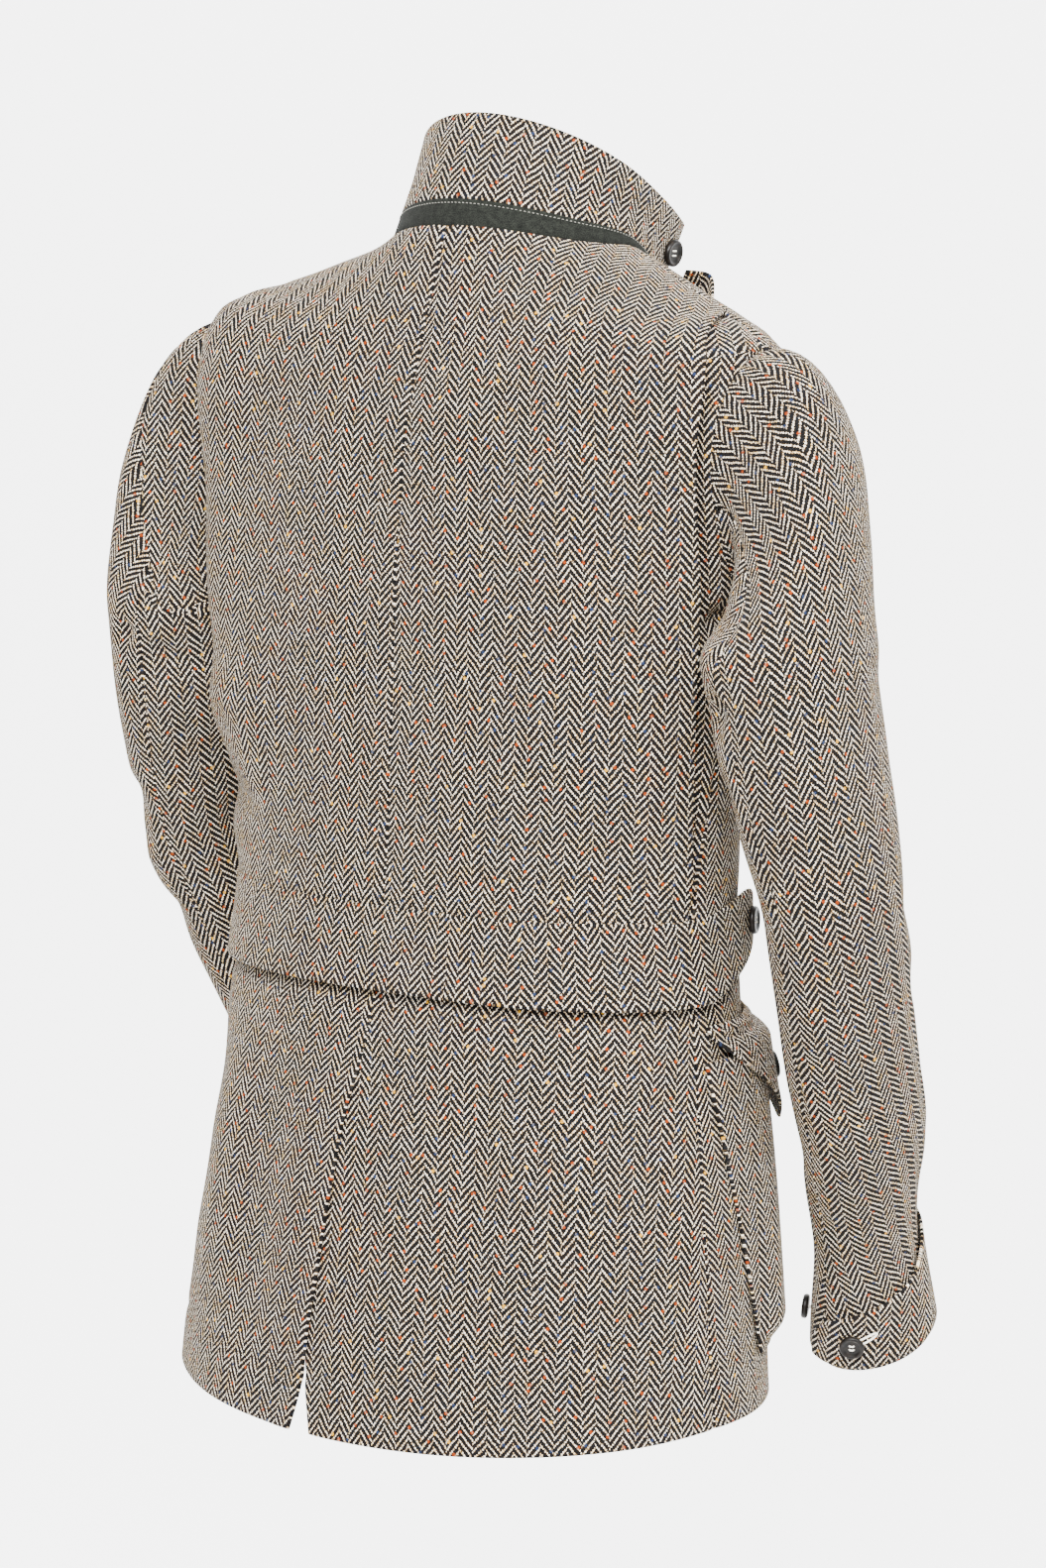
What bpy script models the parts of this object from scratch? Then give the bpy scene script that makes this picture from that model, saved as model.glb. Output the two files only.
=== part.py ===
"""A herringbone field jacket worn on an empty form, its collar turned up.

Every sewn piece is a hollow cloth wall cut from one body surface, or from a sleeve that starts at its
armhole. Metres, +Z up. The origin is on the neck's axis at the height of the centre-back neck seam, the
wearer faces -Y and the wearer's left is +X. A turn is an angle round the body in degrees from the centre
back towards the wearer's left, and a level is the height of a ring at the centre back.
"""

import math

import bpy
import numpy as np

# Cloth
CLOTH = 0.002  # thickness of a cloth wall
SEAM = 0.0004  # gap between pieces at a seam
LAY = CLOTH + SEAM  # how far out a piece lies on another
STRAP_LAY = LAY + 0.0008  # and one whose facets cross those under it

# Levels, down from the neck seam at 0
HEM = -0.717
VENT_TOP = -0.482
FLAP_TOP = -0.468
BELT_FOOT = -0.453
WAIST_SEAM = -0.430
BELT_TOP = -0.405
UNDERARM = -0.224
LAPEL_BREAK = -0.215
SHOULDER = -0.085
PLEAT_TOP = -0.060

# Body surface, one row per ring from the hem to the neck seam
BODY_COLUMNS = ("level", "side_rise", "front_rise", "half_width", "middle", "back", "front", "square")
BODY_RINGS = (
    (HEM, 0.007, 0.003, 0.196, 0.048, 0.206, 0.104, 2.2),
    (-0.580, 0.002, 0.000, 0.187, 0.046, 0.176, 0.090, 2.2),
    (BELT_FOOT, -0.003, -0.004, 0.176, 0.041, 0.148, 0.072, 2.2),
    (-0.380, 0.000, 0.000, 0.175, 0.042, 0.137, 0.070, 2.2),
    (-0.300, 0.000, 0.000, 0.176, 0.042, 0.132, 0.080, 2.3),
    (UNDERARM, 0.000, 0.000, 0.180, 0.040, 0.128, 0.090, 2.4),
    (-0.140, 0.013, -0.005, 0.190, 0.035, 0.120, 0.096, 2.5),
    (SHOULDER, 0.024, -0.033, 0.205, 0.028, 0.108, 0.094, 2.5),
    (-0.070, 0.013, -0.045, 0.192, 0.023, 0.102, 0.092, 2.4),
    (-0.045, 0.005, -0.062, 0.152, 0.012, 0.093, 0.090, 2.3),
    (-0.020, -0.004, -0.078, 0.112, 0.004, 0.084, 0.086, 2.1),
    (0.000, -0.011, -0.090, 0.080, 0.000, 0.077, 0.080, 2.0),
)
FRONT_SQUARE = 2.0
BACK_FALL = 2.0  # how the rings fall from the side to the centre back, and to the centre front
FRONT_FALL = 1.5

# Rows that all body panels share, as (level, rows up to the next one)
ROW_MARKS = ((HEM, 8), (WAIST_SEAM, 8), (UNDERARM, 9), (SHOULDER, 7), (PLEAT_TOP, 4), (0.0, 1))

# Seam lines on the body, as (level, turn)
SIDE_SEAM = ((HEM, 84), (BELT_FOOT, 83), (-0.41, 83), (-0.36, 86), (-0.30, 91), (-0.25, 97), (UNDERARM, 103))
PLEAT_EDGE = ((WAIST_SEAM, 82), (UNDERARM, 81), (-0.12, 77), (SHOULDER, 78), (PLEAT_TOP, 89))
SHOULDER_TURN = 90
ARMHOLE_FOOT_TURN = 103
ARMHOLE_BACK = 15  # degrees from the armhole's middle to its back edge
ARMHOLE_FRONT = 25
FRONT_LAP = 6  # degrees that a front passes the centre
GORGE_TURN = 137  # where a front edge meets the neck seam
EDGE_BEND = 0.8  # below 1 the front edge leaves the centre more quickly above the break
LAP_RAISE = 1.4 * LAY  # how far the left front lies over the right one
LAP_RAISE_TURN = 160  # where it starts to rise
LAP_RAISE_SPREAD = 12  # degrees over which it rises
LAP_RAISE_FADE = 0.09  # height over which it sinks again above the break

# Pleats
PLEAT_UNDERLAP = 8  # degrees of the side piece under the fold
PLEAT_LIFT = 0.0034  # the fold's height over the side piece
PLEAT_RISE = 16  # degrees over which the fold lifts
PLEAT_CLEAR = 0.0008
PLEAT_HOLLOW = 0.006  # how far the side piece sinks where the pleat opens
PLEAT_HOLLOW_LEVEL = -0.20
PLEAT_HOLLOW_SPREAD = 0.07
PLEAT_FADE = 0.06  # length over which the fold closes above the belt
BACK_SHARES = (0, 0.2, 0.38, 0.54, 0.67, 0.76, 0.83, 0.89, 0.95, 1)  # columns, closer at the fold
HIDDEN_SHARES = (0, 0.5)  # columns of the side piece under the fold
SIDE_SHARES = (0, 0.33, 0.67, 1)  # and from the fold to its edge

# Vent
VENT_TURN_HEM = 6.0  # the vent drifts to the wearer's left on its way down
VENT_OPEN_HEM = 3.6  # degrees open at the hem

# Belt
BELT_END = 108  # degrees
BELT_TAPER = 24  # degrees over which an end narrows and stands off
BELT_STAND = 0.006
BELT_END_TOP = -0.412
BELT_END_FOOT = -0.440
BELT_BUTTON_TURN = 103

# Collar, one row per ring from the neck seam to its top edge
COLLAR_COLUMNS = ("share", "back_z", "side_z", "front_z", "half_width", "middle", "back", "front")
COLLAR_RINGS = (
    (0.00, 0.0003, -0.0107, -0.0897, 0.0800, 0.000, 0.077, 0.080),
    (0.22, 0.0165, -0.0030, -0.0760, 0.0780, -0.005, 0.072, 0.090),
    (0.60, 0.0420, 0.0110, -0.0420, 0.0750, -0.013, 0.062, 0.108),
    (1.00, 0.0670, 0.0280, -0.0110, 0.0750, -0.020, 0.050, 0.132),
)
COLLAR_END = 138  # degrees round the neck to the collar's front ends
STAND_SHARE = 0.22
STAND_GAP = 0.004  # half the gap at the leaf's seam, as a share
COLLAR_BUTTON = (-129, 0.52)  # turn and share

# Lapels
LAPEL_FOOT = LAPEL_BREAK + 0.016
LAPEL_INSET = 1  # degrees from the front edge to the roll
LAPEL_WIDTHS = ((0.0, 4), (0.65, 20), (1.0, 10))  # (share of its length, degrees)
LAPEL_TOP = -0.006
LAPEL_ROLL = 0.5  # share of its width over which it leaves the front
LAPEL_COLUMNS = 6
LAPEL_SPRING = 0.008
LAPEL_STAND = 0.024  # how far its top stands up beside the collar

# Sleeve, one row per station from the upper arm to the cuff
SLEEVE_COLUMNS = ("reach", "x", "y", "z", "half_side", "half_front")
SLEEVE_STATIONS = (
    (0.00, 0.2300, 0.050, -0.240, 0.0460, 0.063),
    (0.16, 0.2350, 0.041, -0.305, 0.0445, 0.059),
    (0.35, 0.2420, 0.018, -0.390, 0.038, 0.052),
    (0.52, 0.2340, -0.009, -0.458, 0.036, 0.049),
    (0.72, 0.2200, -0.050, -0.547, 0.0335, 0.045),
    (0.88, 0.2040, -0.083, -0.618, 0.029, 0.039),
    (1.00, 0.1920, -0.111, -0.690, 0.036, 0.045),
)
HIND_SEAM = 100  # degrees round the sleeve from its outer side towards the back
FORE_SEAM = 260
SLEEVE_STEP = 20  # degrees between columns, so that they meet the armhole's rows
SLEEVE_PULL = 0.2  # degrees left free at each sleeve seam
ARM_ROWS = 14
HEAD_ROWS = 7
HEAD_FULL = 0.78  # how full the sleeve head is
HEAD_TOP_FULL = 0.2  # what its top adds, and its upper back
HEAD_BACK_FULL = 0.15
ARMHOLE_GAP = 0.001
HEAD_LEAVE = 0.25  # how much the cloth leaves its seam sideways, against HEAD_STAND straight out
HEAD_LEAVE_TOP = -0.18
HEAD_LEAVE_FRONT = 0.45
HEAD_STAND = 0.8

# Cuff tabs, as (degrees round the sleeve, reach of the upper edge)
TAB_EDGE = ((-75, 0.885), (-37, 0.900), (0, 0.925), (67, 0.942), (98, 0.955), (108, 0.966), (113, 0.980))
TAB_FOOT = 0.994
CUFF_BUTTONS = ((67, 0.970, True), (150, 0.972, False))  # degrees, reach, on the tab

# Pockets
BAG_TOP = -0.490
BAG_FOOT = -0.682
BAG_BACK = ((BAG_FOOT, 100), (BAG_TOP, 85))
BAG_FRONT = 146
BAG_DEPTH = 0.010
BAG_SHARES = (0, 0.04, 0.08, 0.3, 0.5, 0.7, 0.92, 0.96, 1)
BAG_ROWS = (0, 0.04, 0.09, 0.4, 0.7, 1)
BAG_EDGE = 0.09  # share over which its bellows rise
FLAP_BACK = 86
FLAP_FRONT = 148
FLAP_SIDE = 0.010
FLAP_MIDDLE = 0.080
FLAP_OUT = 0.0136
FLAP_RISE = 0.020  # drop over which it clears the bag
FLAP_FLARE = 0.06
FLAP_BUTTON_DROP = 0.046

# Lean, which lifts the wearer's left shoulder and lowers the right one
LEAN = 0.006
LEAN_NEAR = 0.06  # sideways places between which it grows
LEAN_FAR = 0.16
LEAN_LOW = -0.34  # heights between which it grows
LEAN_HIGH = -0.10

# Buttons
BUTTON = 0.0085  # radius
CUFF_BUTTON = 0.0078
BUTTON_THICK = 0.0038
BUTTON_CLEAR = 0.0003
BUTTON_SIDES = 12
BUTTON_PROFILE = ((0.82, 0.0), (1.0, 0.25), (1.0, 0.75), (0.9, 1.0), (0.7, 1.0), (0.6, 0.72))
FRONT_BUTTONS = (-0.245, -0.325, -0.405, -0.485)


def smooth(points, at):
    """Smooth curve through (place, value) points that never swings past them."""
    xs, ys = np.array(points, float).T
    at = np.clip(np.asarray(at, float), xs[0], xs[-1])
    steps = np.diff(xs)
    slopes = np.diff(ys) / steps
    bends = np.zeros_like(ys)
    same = slopes[:-1] * slopes[1:] > 0
    means = 2 * slopes[:-1] * slopes[1:] / np.where(same, slopes[:-1] + slopes[1:], 1.0)
    bends[1:-1] = np.where(same, means, 0.0)
    bends[0], bends[-1] = slopes[0], slopes[-1]
    index = np.clip(np.searchsorted(xs, at, side="right") - 1, 0, len(steps) - 1)
    step = steps[index]
    t = (at - xs[index]) / step
    rise = ys[index] * (1 + 2 * t) * (1 - t) ** 2 + ys[index + 1] * t * t * (3 - 2 * t)
    return rise + step * (bends[index] * t * (1 - t) ** 2 - bends[index + 1] * t * t * (1 - t))


def look_up(rows, columns, at):
    """The named sizes of a table at a place in its first column."""
    table = np.array(rows)
    return {name: smooth(table[:, [0, i]], at) for i, name in enumerate(columns)}


def ease(t):
    """0 to 1 with flat ends."""
    t = np.clip(t, 0.0, 1.0)
    return t * t * (3 - 2 * t)


def unit(vectors):
    return vectors / np.linalg.norm(vectors, axis=-1, keepdims=True)


def mesh_out(points):
    """Normals of a grid of points whose columns run along the turn and rows go up."""
    along = np.gradient(points, axis=1)
    up = np.gradient(points, axis=0)
    return unit(np.cross(up, along))


# Body surface


def body(turn, level):
    """Point on the body surface."""
    size = look_up(BODY_RINGS, BODY_COLUMNS, level)
    angle = np.radians(turn)
    across, along = np.sin(angle), np.cos(angle)
    behind = along > 0
    depth = np.where(behind, size["back"] - size["middle"], size["front"] + size["middle"])
    power = np.where(behind, size["square"], FRONT_SQUARE)
    reach = (np.abs(across) / size["half_width"]) ** power + (np.abs(along) / depth) ** power
    radius = reach ** (-1 / power)
    end_rise = np.where(behind, 0.0, size["front_rise"])
    fall = np.abs(along) ** np.where(behind, BACK_FALL, FRONT_FALL)
    height = level + size["side_rise"] + (end_rise - size["side_rise"]) * fall
    return np.stack([radius * across, size["middle"] + radius * along, height], axis=-1)


def body_out(turn, level):
    """Outward unit normal of the body surface."""
    step_turn, step_level = 0.2, 0.0005
    round_it = body(turn + step_turn, level) - body(turn - step_turn, level)
    low = np.maximum(level - step_level, HEM)
    high = np.minimum(level + step_level, 0.0)
    return unit(np.cross(body(turn, high) - body(turn, low), round_it))


def on_body(turn, level, out=0.0):
    """Point moved out of the body surface."""
    turn, level, out = np.broadcast_arrays(turn, level, out)
    return body(turn, level) + body_out(turn, level) * out[..., None]


def turn_for(length, turn, level):
    """Degrees that make a length along a ring."""
    return length / np.linalg.norm(body(turn + 0.5, level) - body(turn - 0.5, level), axis=-1)


def armhole_middle(level):
    return np.interp(level, (UNDERARM, SHOULDER), (ARMHOLE_FOOT_TURN, SHOULDER_TURN))


def side_edge(level, half):
    """Turn of the side seam, of the armhole edge half degrees from its middle, or of the shoulder seam."""
    middle, span = (UNDERARM + SHOULDER) / 2, (SHOULDER - UNDERARM) / 2
    reach = np.sqrt(np.clip(1 - ((level - middle) / span) ** 2, 0.0, 1.0))
    return np.where(level < UNDERARM, smooth(SIDE_SEAM, level), armhole_middle(level) + half * reach)


def body_rows(low, high):
    """Levels of the shared rows between a panel's ends."""
    rows = []
    for (start, parts), (stop, _) in zip(ROW_MARKS[:-1], ROW_MARKS[1:]):
        share = np.arange(parts) / parts
        if start == UNDERARM:
            share = (1 - np.cos(math.pi * share)) / 2
        rows.extend(start + (stop - start) * share)
    return np.array([low] + [row for row in rows if low < row < high] + [high])


def panel_grid(rows, shares, first_edge, last_edge):
    """Turns and levels of a panel between two edges, pulled back from its seams."""
    levels = np.array(rows)[:, None]
    first, last = first_edge(levels), last_edge(levels)
    first = first + turn_for(SEAM / 2, first, levels)
    last = last - turn_for(SEAM / 2, last, levels)
    turn = first + (last - first) * np.array(shares)[None, :]
    return np.broadcast_arrays(turn, levels)


# Solids


def shell(outer, normals=None, thickness=CLOTH):
    """Vertices and faces of a closed wall under a grid of outer points."""
    rows, columns = outer.shape[:2]
    inner = outer - (mesh_out(outer) if normals is None else normals) * thickness
    points = np.concatenate([outer.reshape(-1, 3), inner.reshape(-1, 3)])
    back = rows * columns
    faces = []
    for row in range(rows - 1):
        for column in range(columns - 1):
            a = row * columns + column
            quad = (a, a + columns, a + columns + 1, a + 1)
            faces.append(quad)
            faces.append(tuple(corner + back for corner in reversed(quad)))
    rim = list(range(columns))
    rim += [row * columns + columns - 1 for row in range(1, rows)]
    rim += [(rows - 1) * columns + column for column in range(columns - 2, -1, -1)]
    rim += [row * columns for row in range(rows - 2, 0, -1)]
    for a, b in zip(rim, rim[1:] + rim[:1]):
        faces.append((a, b, b + back, a + back))
    return points, faces


def button(centre, axis, radius):
    """A turned button whose foot is at centre."""
    axis = unit(np.asarray(axis, float))
    aside = unit(np.cross(axis, (0.0, 0.0, 1.0) if abs(axis[2]) < 0.9 else (1.0, 0.0, 0.0)))
    third = np.cross(axis, aside)
    angles = np.arange(BUTTON_SIDES) * 2 * math.pi / BUTTON_SIDES
    ring = np.cos(angles)[:, None] * aside + np.sin(angles)[:, None] * third
    points = np.concatenate(
        [centre + ring * radius * wide + axis * BUTTON_THICK * high for wide, high in BUTTON_PROFILE]
    )
    faces = [tuple(reversed(range(BUTTON_SIDES)))]
    for level in range(len(BUTTON_PROFILE) - 1):
        for side in range(BUTTON_SIDES):
            a, b = level * BUTTON_SIDES + side, level * BUTTON_SIDES + (side + 1) % BUTTON_SIDES
            faces.append((a, b, b + BUTTON_SIDES, a + BUTTON_SIDES))
    faces.append(tuple(range(len(points) - BUTTON_SIDES, len(points))))
    return points, faces


def leaned(points):
    """Points of the finished form, its left shoulder higher than its right."""
    aside = ease((np.abs(points[:, 0]) - LEAN_NEAR) / (LEAN_FAR - LEAN_NEAR)) * np.sign(points[:, 0])
    lift = LEAN * aside * ease((points[:, 2] - LEAN_LOW) / (LEAN_HIGH - LEAN_LOW))
    return points + np.stack([0 * lift, 0 * lift, lift], axis=-1)


def add(name, solid, material, mirrored=False):
    """Makes one named object; mirrored swaps the wearer's left for right."""
    points, faces = np.array(solid[0]), solid[1]
    if mirrored:
        points[:, 0] *= -1
        faces = [tuple(reversed(face)) for face in faces]
    mesh = bpy.data.meshes.new(name)
    mesh.from_pydata(leaned(points).tolist(), [], faces)
    mesh.materials.append(material)
    bpy.context.collection.objects.link(bpy.data.objects.new(name, mesh))


def add_both(name, solid, material, ending=""):
    """The wearer's left piece and its mirror on the right."""
    add(name + "_left" + ending, solid, material)
    add(name + "_right" + ending, solid, material, mirrored=True)


# Body pieces


def pleat_edge(level):
    return smooth(PLEAT_EDGE, level)


def pleat_lift(turn, level):
    """How far the back stands off towards its pleat edge."""
    fade = ease((level - BELT_TOP) / PLEAT_FADE) * ease((PLEAT_TOP - level) / PLEAT_FADE + 0.4)
    return PLEAT_LIFT * ease((turn - pleat_edge(level)) / PLEAT_RISE + 1) * fade


def back_panel():
    rows = body_rows(WAIST_SEAM + SEAM / 2, -SEAM / 2)
    turn, level = panel_grid(rows, BACK_SHARES, np.zeros_like, pleat_edge)
    return shell(on_body(turn, level, pleat_lift(turn, level)), body_out(turn, level))


def side_out(turn, level):
    """How far the side piece lies out: under the fold, then level with the armhole and the side seam."""
    fold, edge = pleat_edge(level), side_edge(level, -ARMHOLE_BACK)
    under = pleat_lift(np.minimum(turn, fold), level) - LAY - PLEAT_CLEAR
    share = np.clip((turn - fold) / np.maximum(edge - fold, 1.0), 0.0, 1.0)
    deep = np.exp(-(((level - PLEAT_HOLLOW_LEVEL) / PLEAT_HOLLOW_SPREAD) ** 2))
    hidden = ease((turn - fold) / PLEAT_UNDERLAP + 1)
    return under * (1 - ease(share)) - PLEAT_HOLLOW * deep * (1 - share) * hidden


def side_panel():
    rows = body_rows(WAIST_SEAM + SEAM / 2, PLEAT_TOP)
    hidden, low = panel_grid(rows, HIDDEN_SHARES, lambda at: pleat_edge(at) - PLEAT_UNDERLAP, pleat_edge)
    shown, high = panel_grid(rows, SIDE_SHARES, pleat_edge, lambda at: side_edge(at, -ARMHOLE_BACK))
    turn, level = np.concatenate([hidden, shown], axis=1), np.concatenate([low, high], axis=1)
    return shell(on_body(turn, level, side_out(turn, level)), body_out(turn, level))


def vent_turn(level, open_share):
    """Turn of a skirt's edge at the vent, part of its opening to either side of the drift."""
    down = np.clip((VENT_TOP - level) / (VENT_TOP - HEM), 0.0, 1.0)
    return down * (VENT_TURN_HEM + open_share * VENT_OPEN_HEM * down)


def skirt_panel(first_edge):
    rows = body_rows(HEM, WAIST_SEAM - SEAM / 2)
    shares = np.linspace(0, 1, 10)
    turn, level = panel_grid(rows, shares, first_edge, lambda at: smooth(SIDE_SEAM, at))
    return shell(on_body(turn, level), body_out(turn, level))


def front_edge(level):
    """Turn of the front's free edge, past the centre up to the lapel's break and then back to the gorge."""
    open_up = np.clip(1 - level / LAPEL_BREAK, 0.0, 1.0)
    return 180 + FRONT_LAP - (180 + FRONT_LAP - GORGE_TURN) * open_up**EDGE_BEND


def front_out(turn, level):
    """How far the left front lies over the right one near the centre."""
    rise = ease((turn - LAP_RAISE_TURN) / LAP_RAISE_SPREAD)
    return LAP_RAISE * rise * ease((LAPEL_BREAK - level) / LAP_RAISE_FADE + 1)


def front_panel(over):
    rows = body_rows(HEM, -SEAM / 2)
    turn, level = panel_grid(rows, np.linspace(0, 1, 10), lambda at: side_edge(at, ARMHOLE_FRONT), front_edge)
    return shell(on_body(turn, level, over * front_out(turn, level)), body_out(turn, level))


def lapel_sheet(over):
    """Turned-back front edge from the break to a tip that stands up beside the collar."""
    level = body_rows(LAPEL_FOOT, LAPEL_TOP)[:, None]
    share = (level - LAPEL_FOOT) / (LAPEL_TOP - LAPEL_FOOT)
    across = np.linspace(1, 0, LAPEL_COLUMNS)[None, :]
    turn = front_edge(level) - LAPEL_INSET - smooth(LAPEL_WIDTHS, share) * across
    lift = LAPEL_SPRING * across * share + LAPEL_STAND * share**2 * ease(across / LAPEL_ROLL)
    return shell(on_body(turn, level, over * front_out(turn, level) + LAY + lift))


def belt_place(turn, share):
    """Point on the belt's outer face, share going up; its ends narrow to tabs that stand off."""
    end = ease((np.abs(turn) - BELT_END) / BELT_TAPER + 1)
    top = BELT_TOP + (BELT_END_TOP - BELT_TOP) * end
    foot = BELT_FOOT + (BELT_END_FOOT - BELT_FOOT) * end
    return on_body(turn, foot + (top - foot) * share, STRAP_LAY + BELT_STAND * end**2)


def belt_strip():
    return shell(belt_place(np.linspace(-BELT_END, BELT_END, 49)[None, :], np.linspace(0, 1, 3)[:, None]))


# Pockets


def bag_sheet():
    """Bellows pocket, open at its top."""
    rise = np.array(BAG_ROWS)[:, None]
    share = np.array(BAG_SHARES)[None, :]
    level = BAG_FOOT + (BAG_TOP - BAG_FOOT) * rise
    back = smooth(BAG_BACK, level)
    sides = ease(share / BAG_EDGE) * ease((1 - share) / BAG_EDGE)
    return shell(on_body(back + (BAG_FRONT - back) * share, level, STRAP_LAY + BAG_DEPTH * sides * ease(rise / BAG_EDGE)))


def flap_place(share, drop_share):
    """Point on the pointed flap's outer face, from its top edge down."""
    length = FLAP_SIDE + (FLAP_MIDDLE - FLAP_SIDE) * (1 - np.abs(2 * share - 1))
    drop = length * drop_share
    out = STRAP_LAY + FLAP_OUT * ease(drop / FLAP_RISE) + FLAP_FLARE * drop
    return on_body(FLAP_BACK + (FLAP_FRONT - FLAP_BACK) * share, FLAP_TOP - drop, out)


def flap_sheet():
    return shell(flap_place(np.linspace(0, 1, 13)[None, :], np.linspace(1, 0, 6)[:, None]))


# Collar


def collar(turn, share):
    """Point on the turned-up collar, from the neck seam to its top edge."""
    turn, share = np.broadcast_arrays(turn, share)
    size = look_up(COLLAR_RINGS, COLLAR_COLUMNS, share)
    angle = np.radians(turn)
    across, along = np.sin(angle), np.cos(angle)
    depth = np.where(along > 0, size["back"] - size["middle"], size["front"] + size["middle"])
    radius = 1 / np.sqrt((across / size["half_width"]) ** 2 + (along / depth) ** 2)
    end_z = np.where(along > 0, size["back_z"], size["front_z"])
    fall = np.where(along > 0, BACK_FALL, FRONT_FALL)
    height = size["side_z"] + (end_z - size["side_z"]) * np.abs(along) ** (fall + (1 - fall) * share)
    return np.stack([radius * across, size["middle"] + radius * along, height], axis=-1)


def collar_strip(first, last, rows):
    turn = np.linspace(-COLLAR_END, COLLAR_END, 33)[None, :]
    return shell(collar(turn, np.linspace(first, last, rows + 1)[:, None]))


# Sleeves


def armhole_place(around):
    """Turn and level of the armhole seam; around runs from the shoulder over the back to the underarm."""
    angle = np.radians(around)
    level = (UNDERARM + SHOULDER) / 2 + (SHOULDER - UNDERARM) / 2 * np.cos(angle)
    half = np.where(np.sin(angle) > 0, ARMHOLE_BACK, ARMHOLE_FRONT)
    return armhole_middle(level) - half * np.sin(angle), level


def sleeve_ring(around, reach):
    """Point on the sleeve below its head."""
    around, reach = np.broadcast_arrays(np.asarray(around, float), np.asarray(reach, float))
    size = look_up(SLEEVE_STATIONS, SLEEVE_COLUMNS, reach)
    step = 0.02
    ahead = look_up(SLEEVE_STATIONS, SLEEVE_COLUMNS, np.minimum(reach + step, 1.0))
    behind = look_up(SLEEVE_STATIONS, SLEEVE_COLUMNS, np.maximum(reach - step, 0.0))
    run = unit(np.stack([ahead[axis] - behind[axis] for axis in "xyz"], axis=-1))
    back = unit(np.array([0.0, 1.0, 0.0]) - run * run[..., 1:2])
    side = np.cross(back, -run)
    angle = np.radians(around)[..., None]
    centre = np.stack([size[axis] for axis in "xyz"], axis=-1)
    wide = side * np.cos(angle) * size["half_side"][..., None]
    return centre + wide + back * np.sin(angle) * size["half_front"][..., None]


def sleeve_head(around, share):
    """Point between the armhole seam and the upper arm."""
    around, share = np.broadcast_arrays(around, share)
    turn, level = armhole_place(around)
    normal = body_out(turn, level)
    step = body(*armhole_place(around + 1.0)) - body(*armhole_place(around - 1.0))
    into = unit(np.cross(unit(step), normal))
    cosine = np.cos(np.radians(around))[..., None]
    front = np.clip(-np.sin(np.radians(around)), 0.0, 1.0)[..., None]
    top = np.clip(cosine, 0.0, 1.0)
    leave = unit(into * (HEAD_LEAVE + HEAD_LEAVE_TOP * top + HEAD_LEAVE_FRONT * front) + normal * HEAD_STAND)
    start = body(turn, level) + leave * ARMHOLE_GAP
    finish = sleeve_ring(around, 0.0)
    arrive = unit(sleeve_ring(around, 0.02) - finish)
    span = np.linalg.norm(finish - start, axis=-1, keepdims=True)
    t = share[..., None]
    path = start * (1 + 2 * t) * (1 - t) ** 2 + finish * t * t * (3 - 2 * t)
    upper_back = np.clip(np.sin(np.radians(2 * around)), 0.0, 1.0)[..., None] * (cosine > 0)
    full = HEAD_FULL + HEAD_TOP_FULL * cosine + HEAD_BACK_FULL * upper_back
    path = path + leave * span * full * t * (1 - t) ** 2
    return path - arrive * span * HEAD_FULL * t * t * (1 - t)


def on_sleeve(around, reach, out):
    """Point moved out of the sleeve below its head."""
    around, reach, out = np.broadcast_arrays(np.asarray(around, float), reach, out)
    step_around, step_reach = 0.5, 0.004
    round_it = sleeve_ring(around + step_around, reach) - sleeve_ring(around - step_around, reach)
    up_it = sleeve_ring(around, reach - step_reach) - sleeve_ring(around, np.minimum(reach + step_reach, 1.0))
    return sleeve_ring(around, reach) + unit(np.cross(round_it, up_it)) * out[..., None]


def sleeve_panel(first, last):
    """One of the two sleeve pieces, from the cuff up to the armhole seam, squared with a column past each seam."""
    around = np.arange(last + SLEEVE_STEP, first - 2 * SLEEVE_STEP, -SLEEVE_STEP, dtype=float)
    around[1] -= SLEEVE_PULL
    around[-2] += SLEEVE_PULL
    arm = np.linspace(1, 0, ARM_ROWS)[:, None]
    head = np.linspace(1, 0, HEAD_ROWS)[1:, None]
    outer = np.concatenate([sleeve_ring(around, arm), sleeve_head(around, head)])
    normals = mesh_out(outer)
    normals[-1] = body_out(*armhole_place(around))
    return shell(outer[:, 1:-1], normals[:, 1:-1])


def tab_sheet():
    """Cuff tab with a round end, wider towards the front."""
    around = np.linspace(TAB_EDGE[-1][0], TAB_EDGE[0][0], 17)[None, :]
    top = smooth(TAB_EDGE, around)
    share = np.linspace(0, 1, 4)[:, None]
    return shell(on_sleeve(around, TAB_FOOT + (top - TAB_FOOT) * share, STRAP_LAY))


# Buttons


def stand_button(place, radius):
    """A button on a surface; place gives its point at a distance out."""
    axis = place(0.001) - place(0.0)
    return button(place(BUTTON_CLEAR), axis, radius)


def surface_point(surface, u, v, step_u, step_v):
    """Function of a distance out along a surface's normal."""
    point = surface(u, v)
    along = surface(u + step_u, v) - surface(u - step_u, v)
    up = surface(u, v + step_v) - surface(u, v - step_v)
    normal = unit(np.cross(up, along))
    return lambda out: point + normal * out


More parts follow.
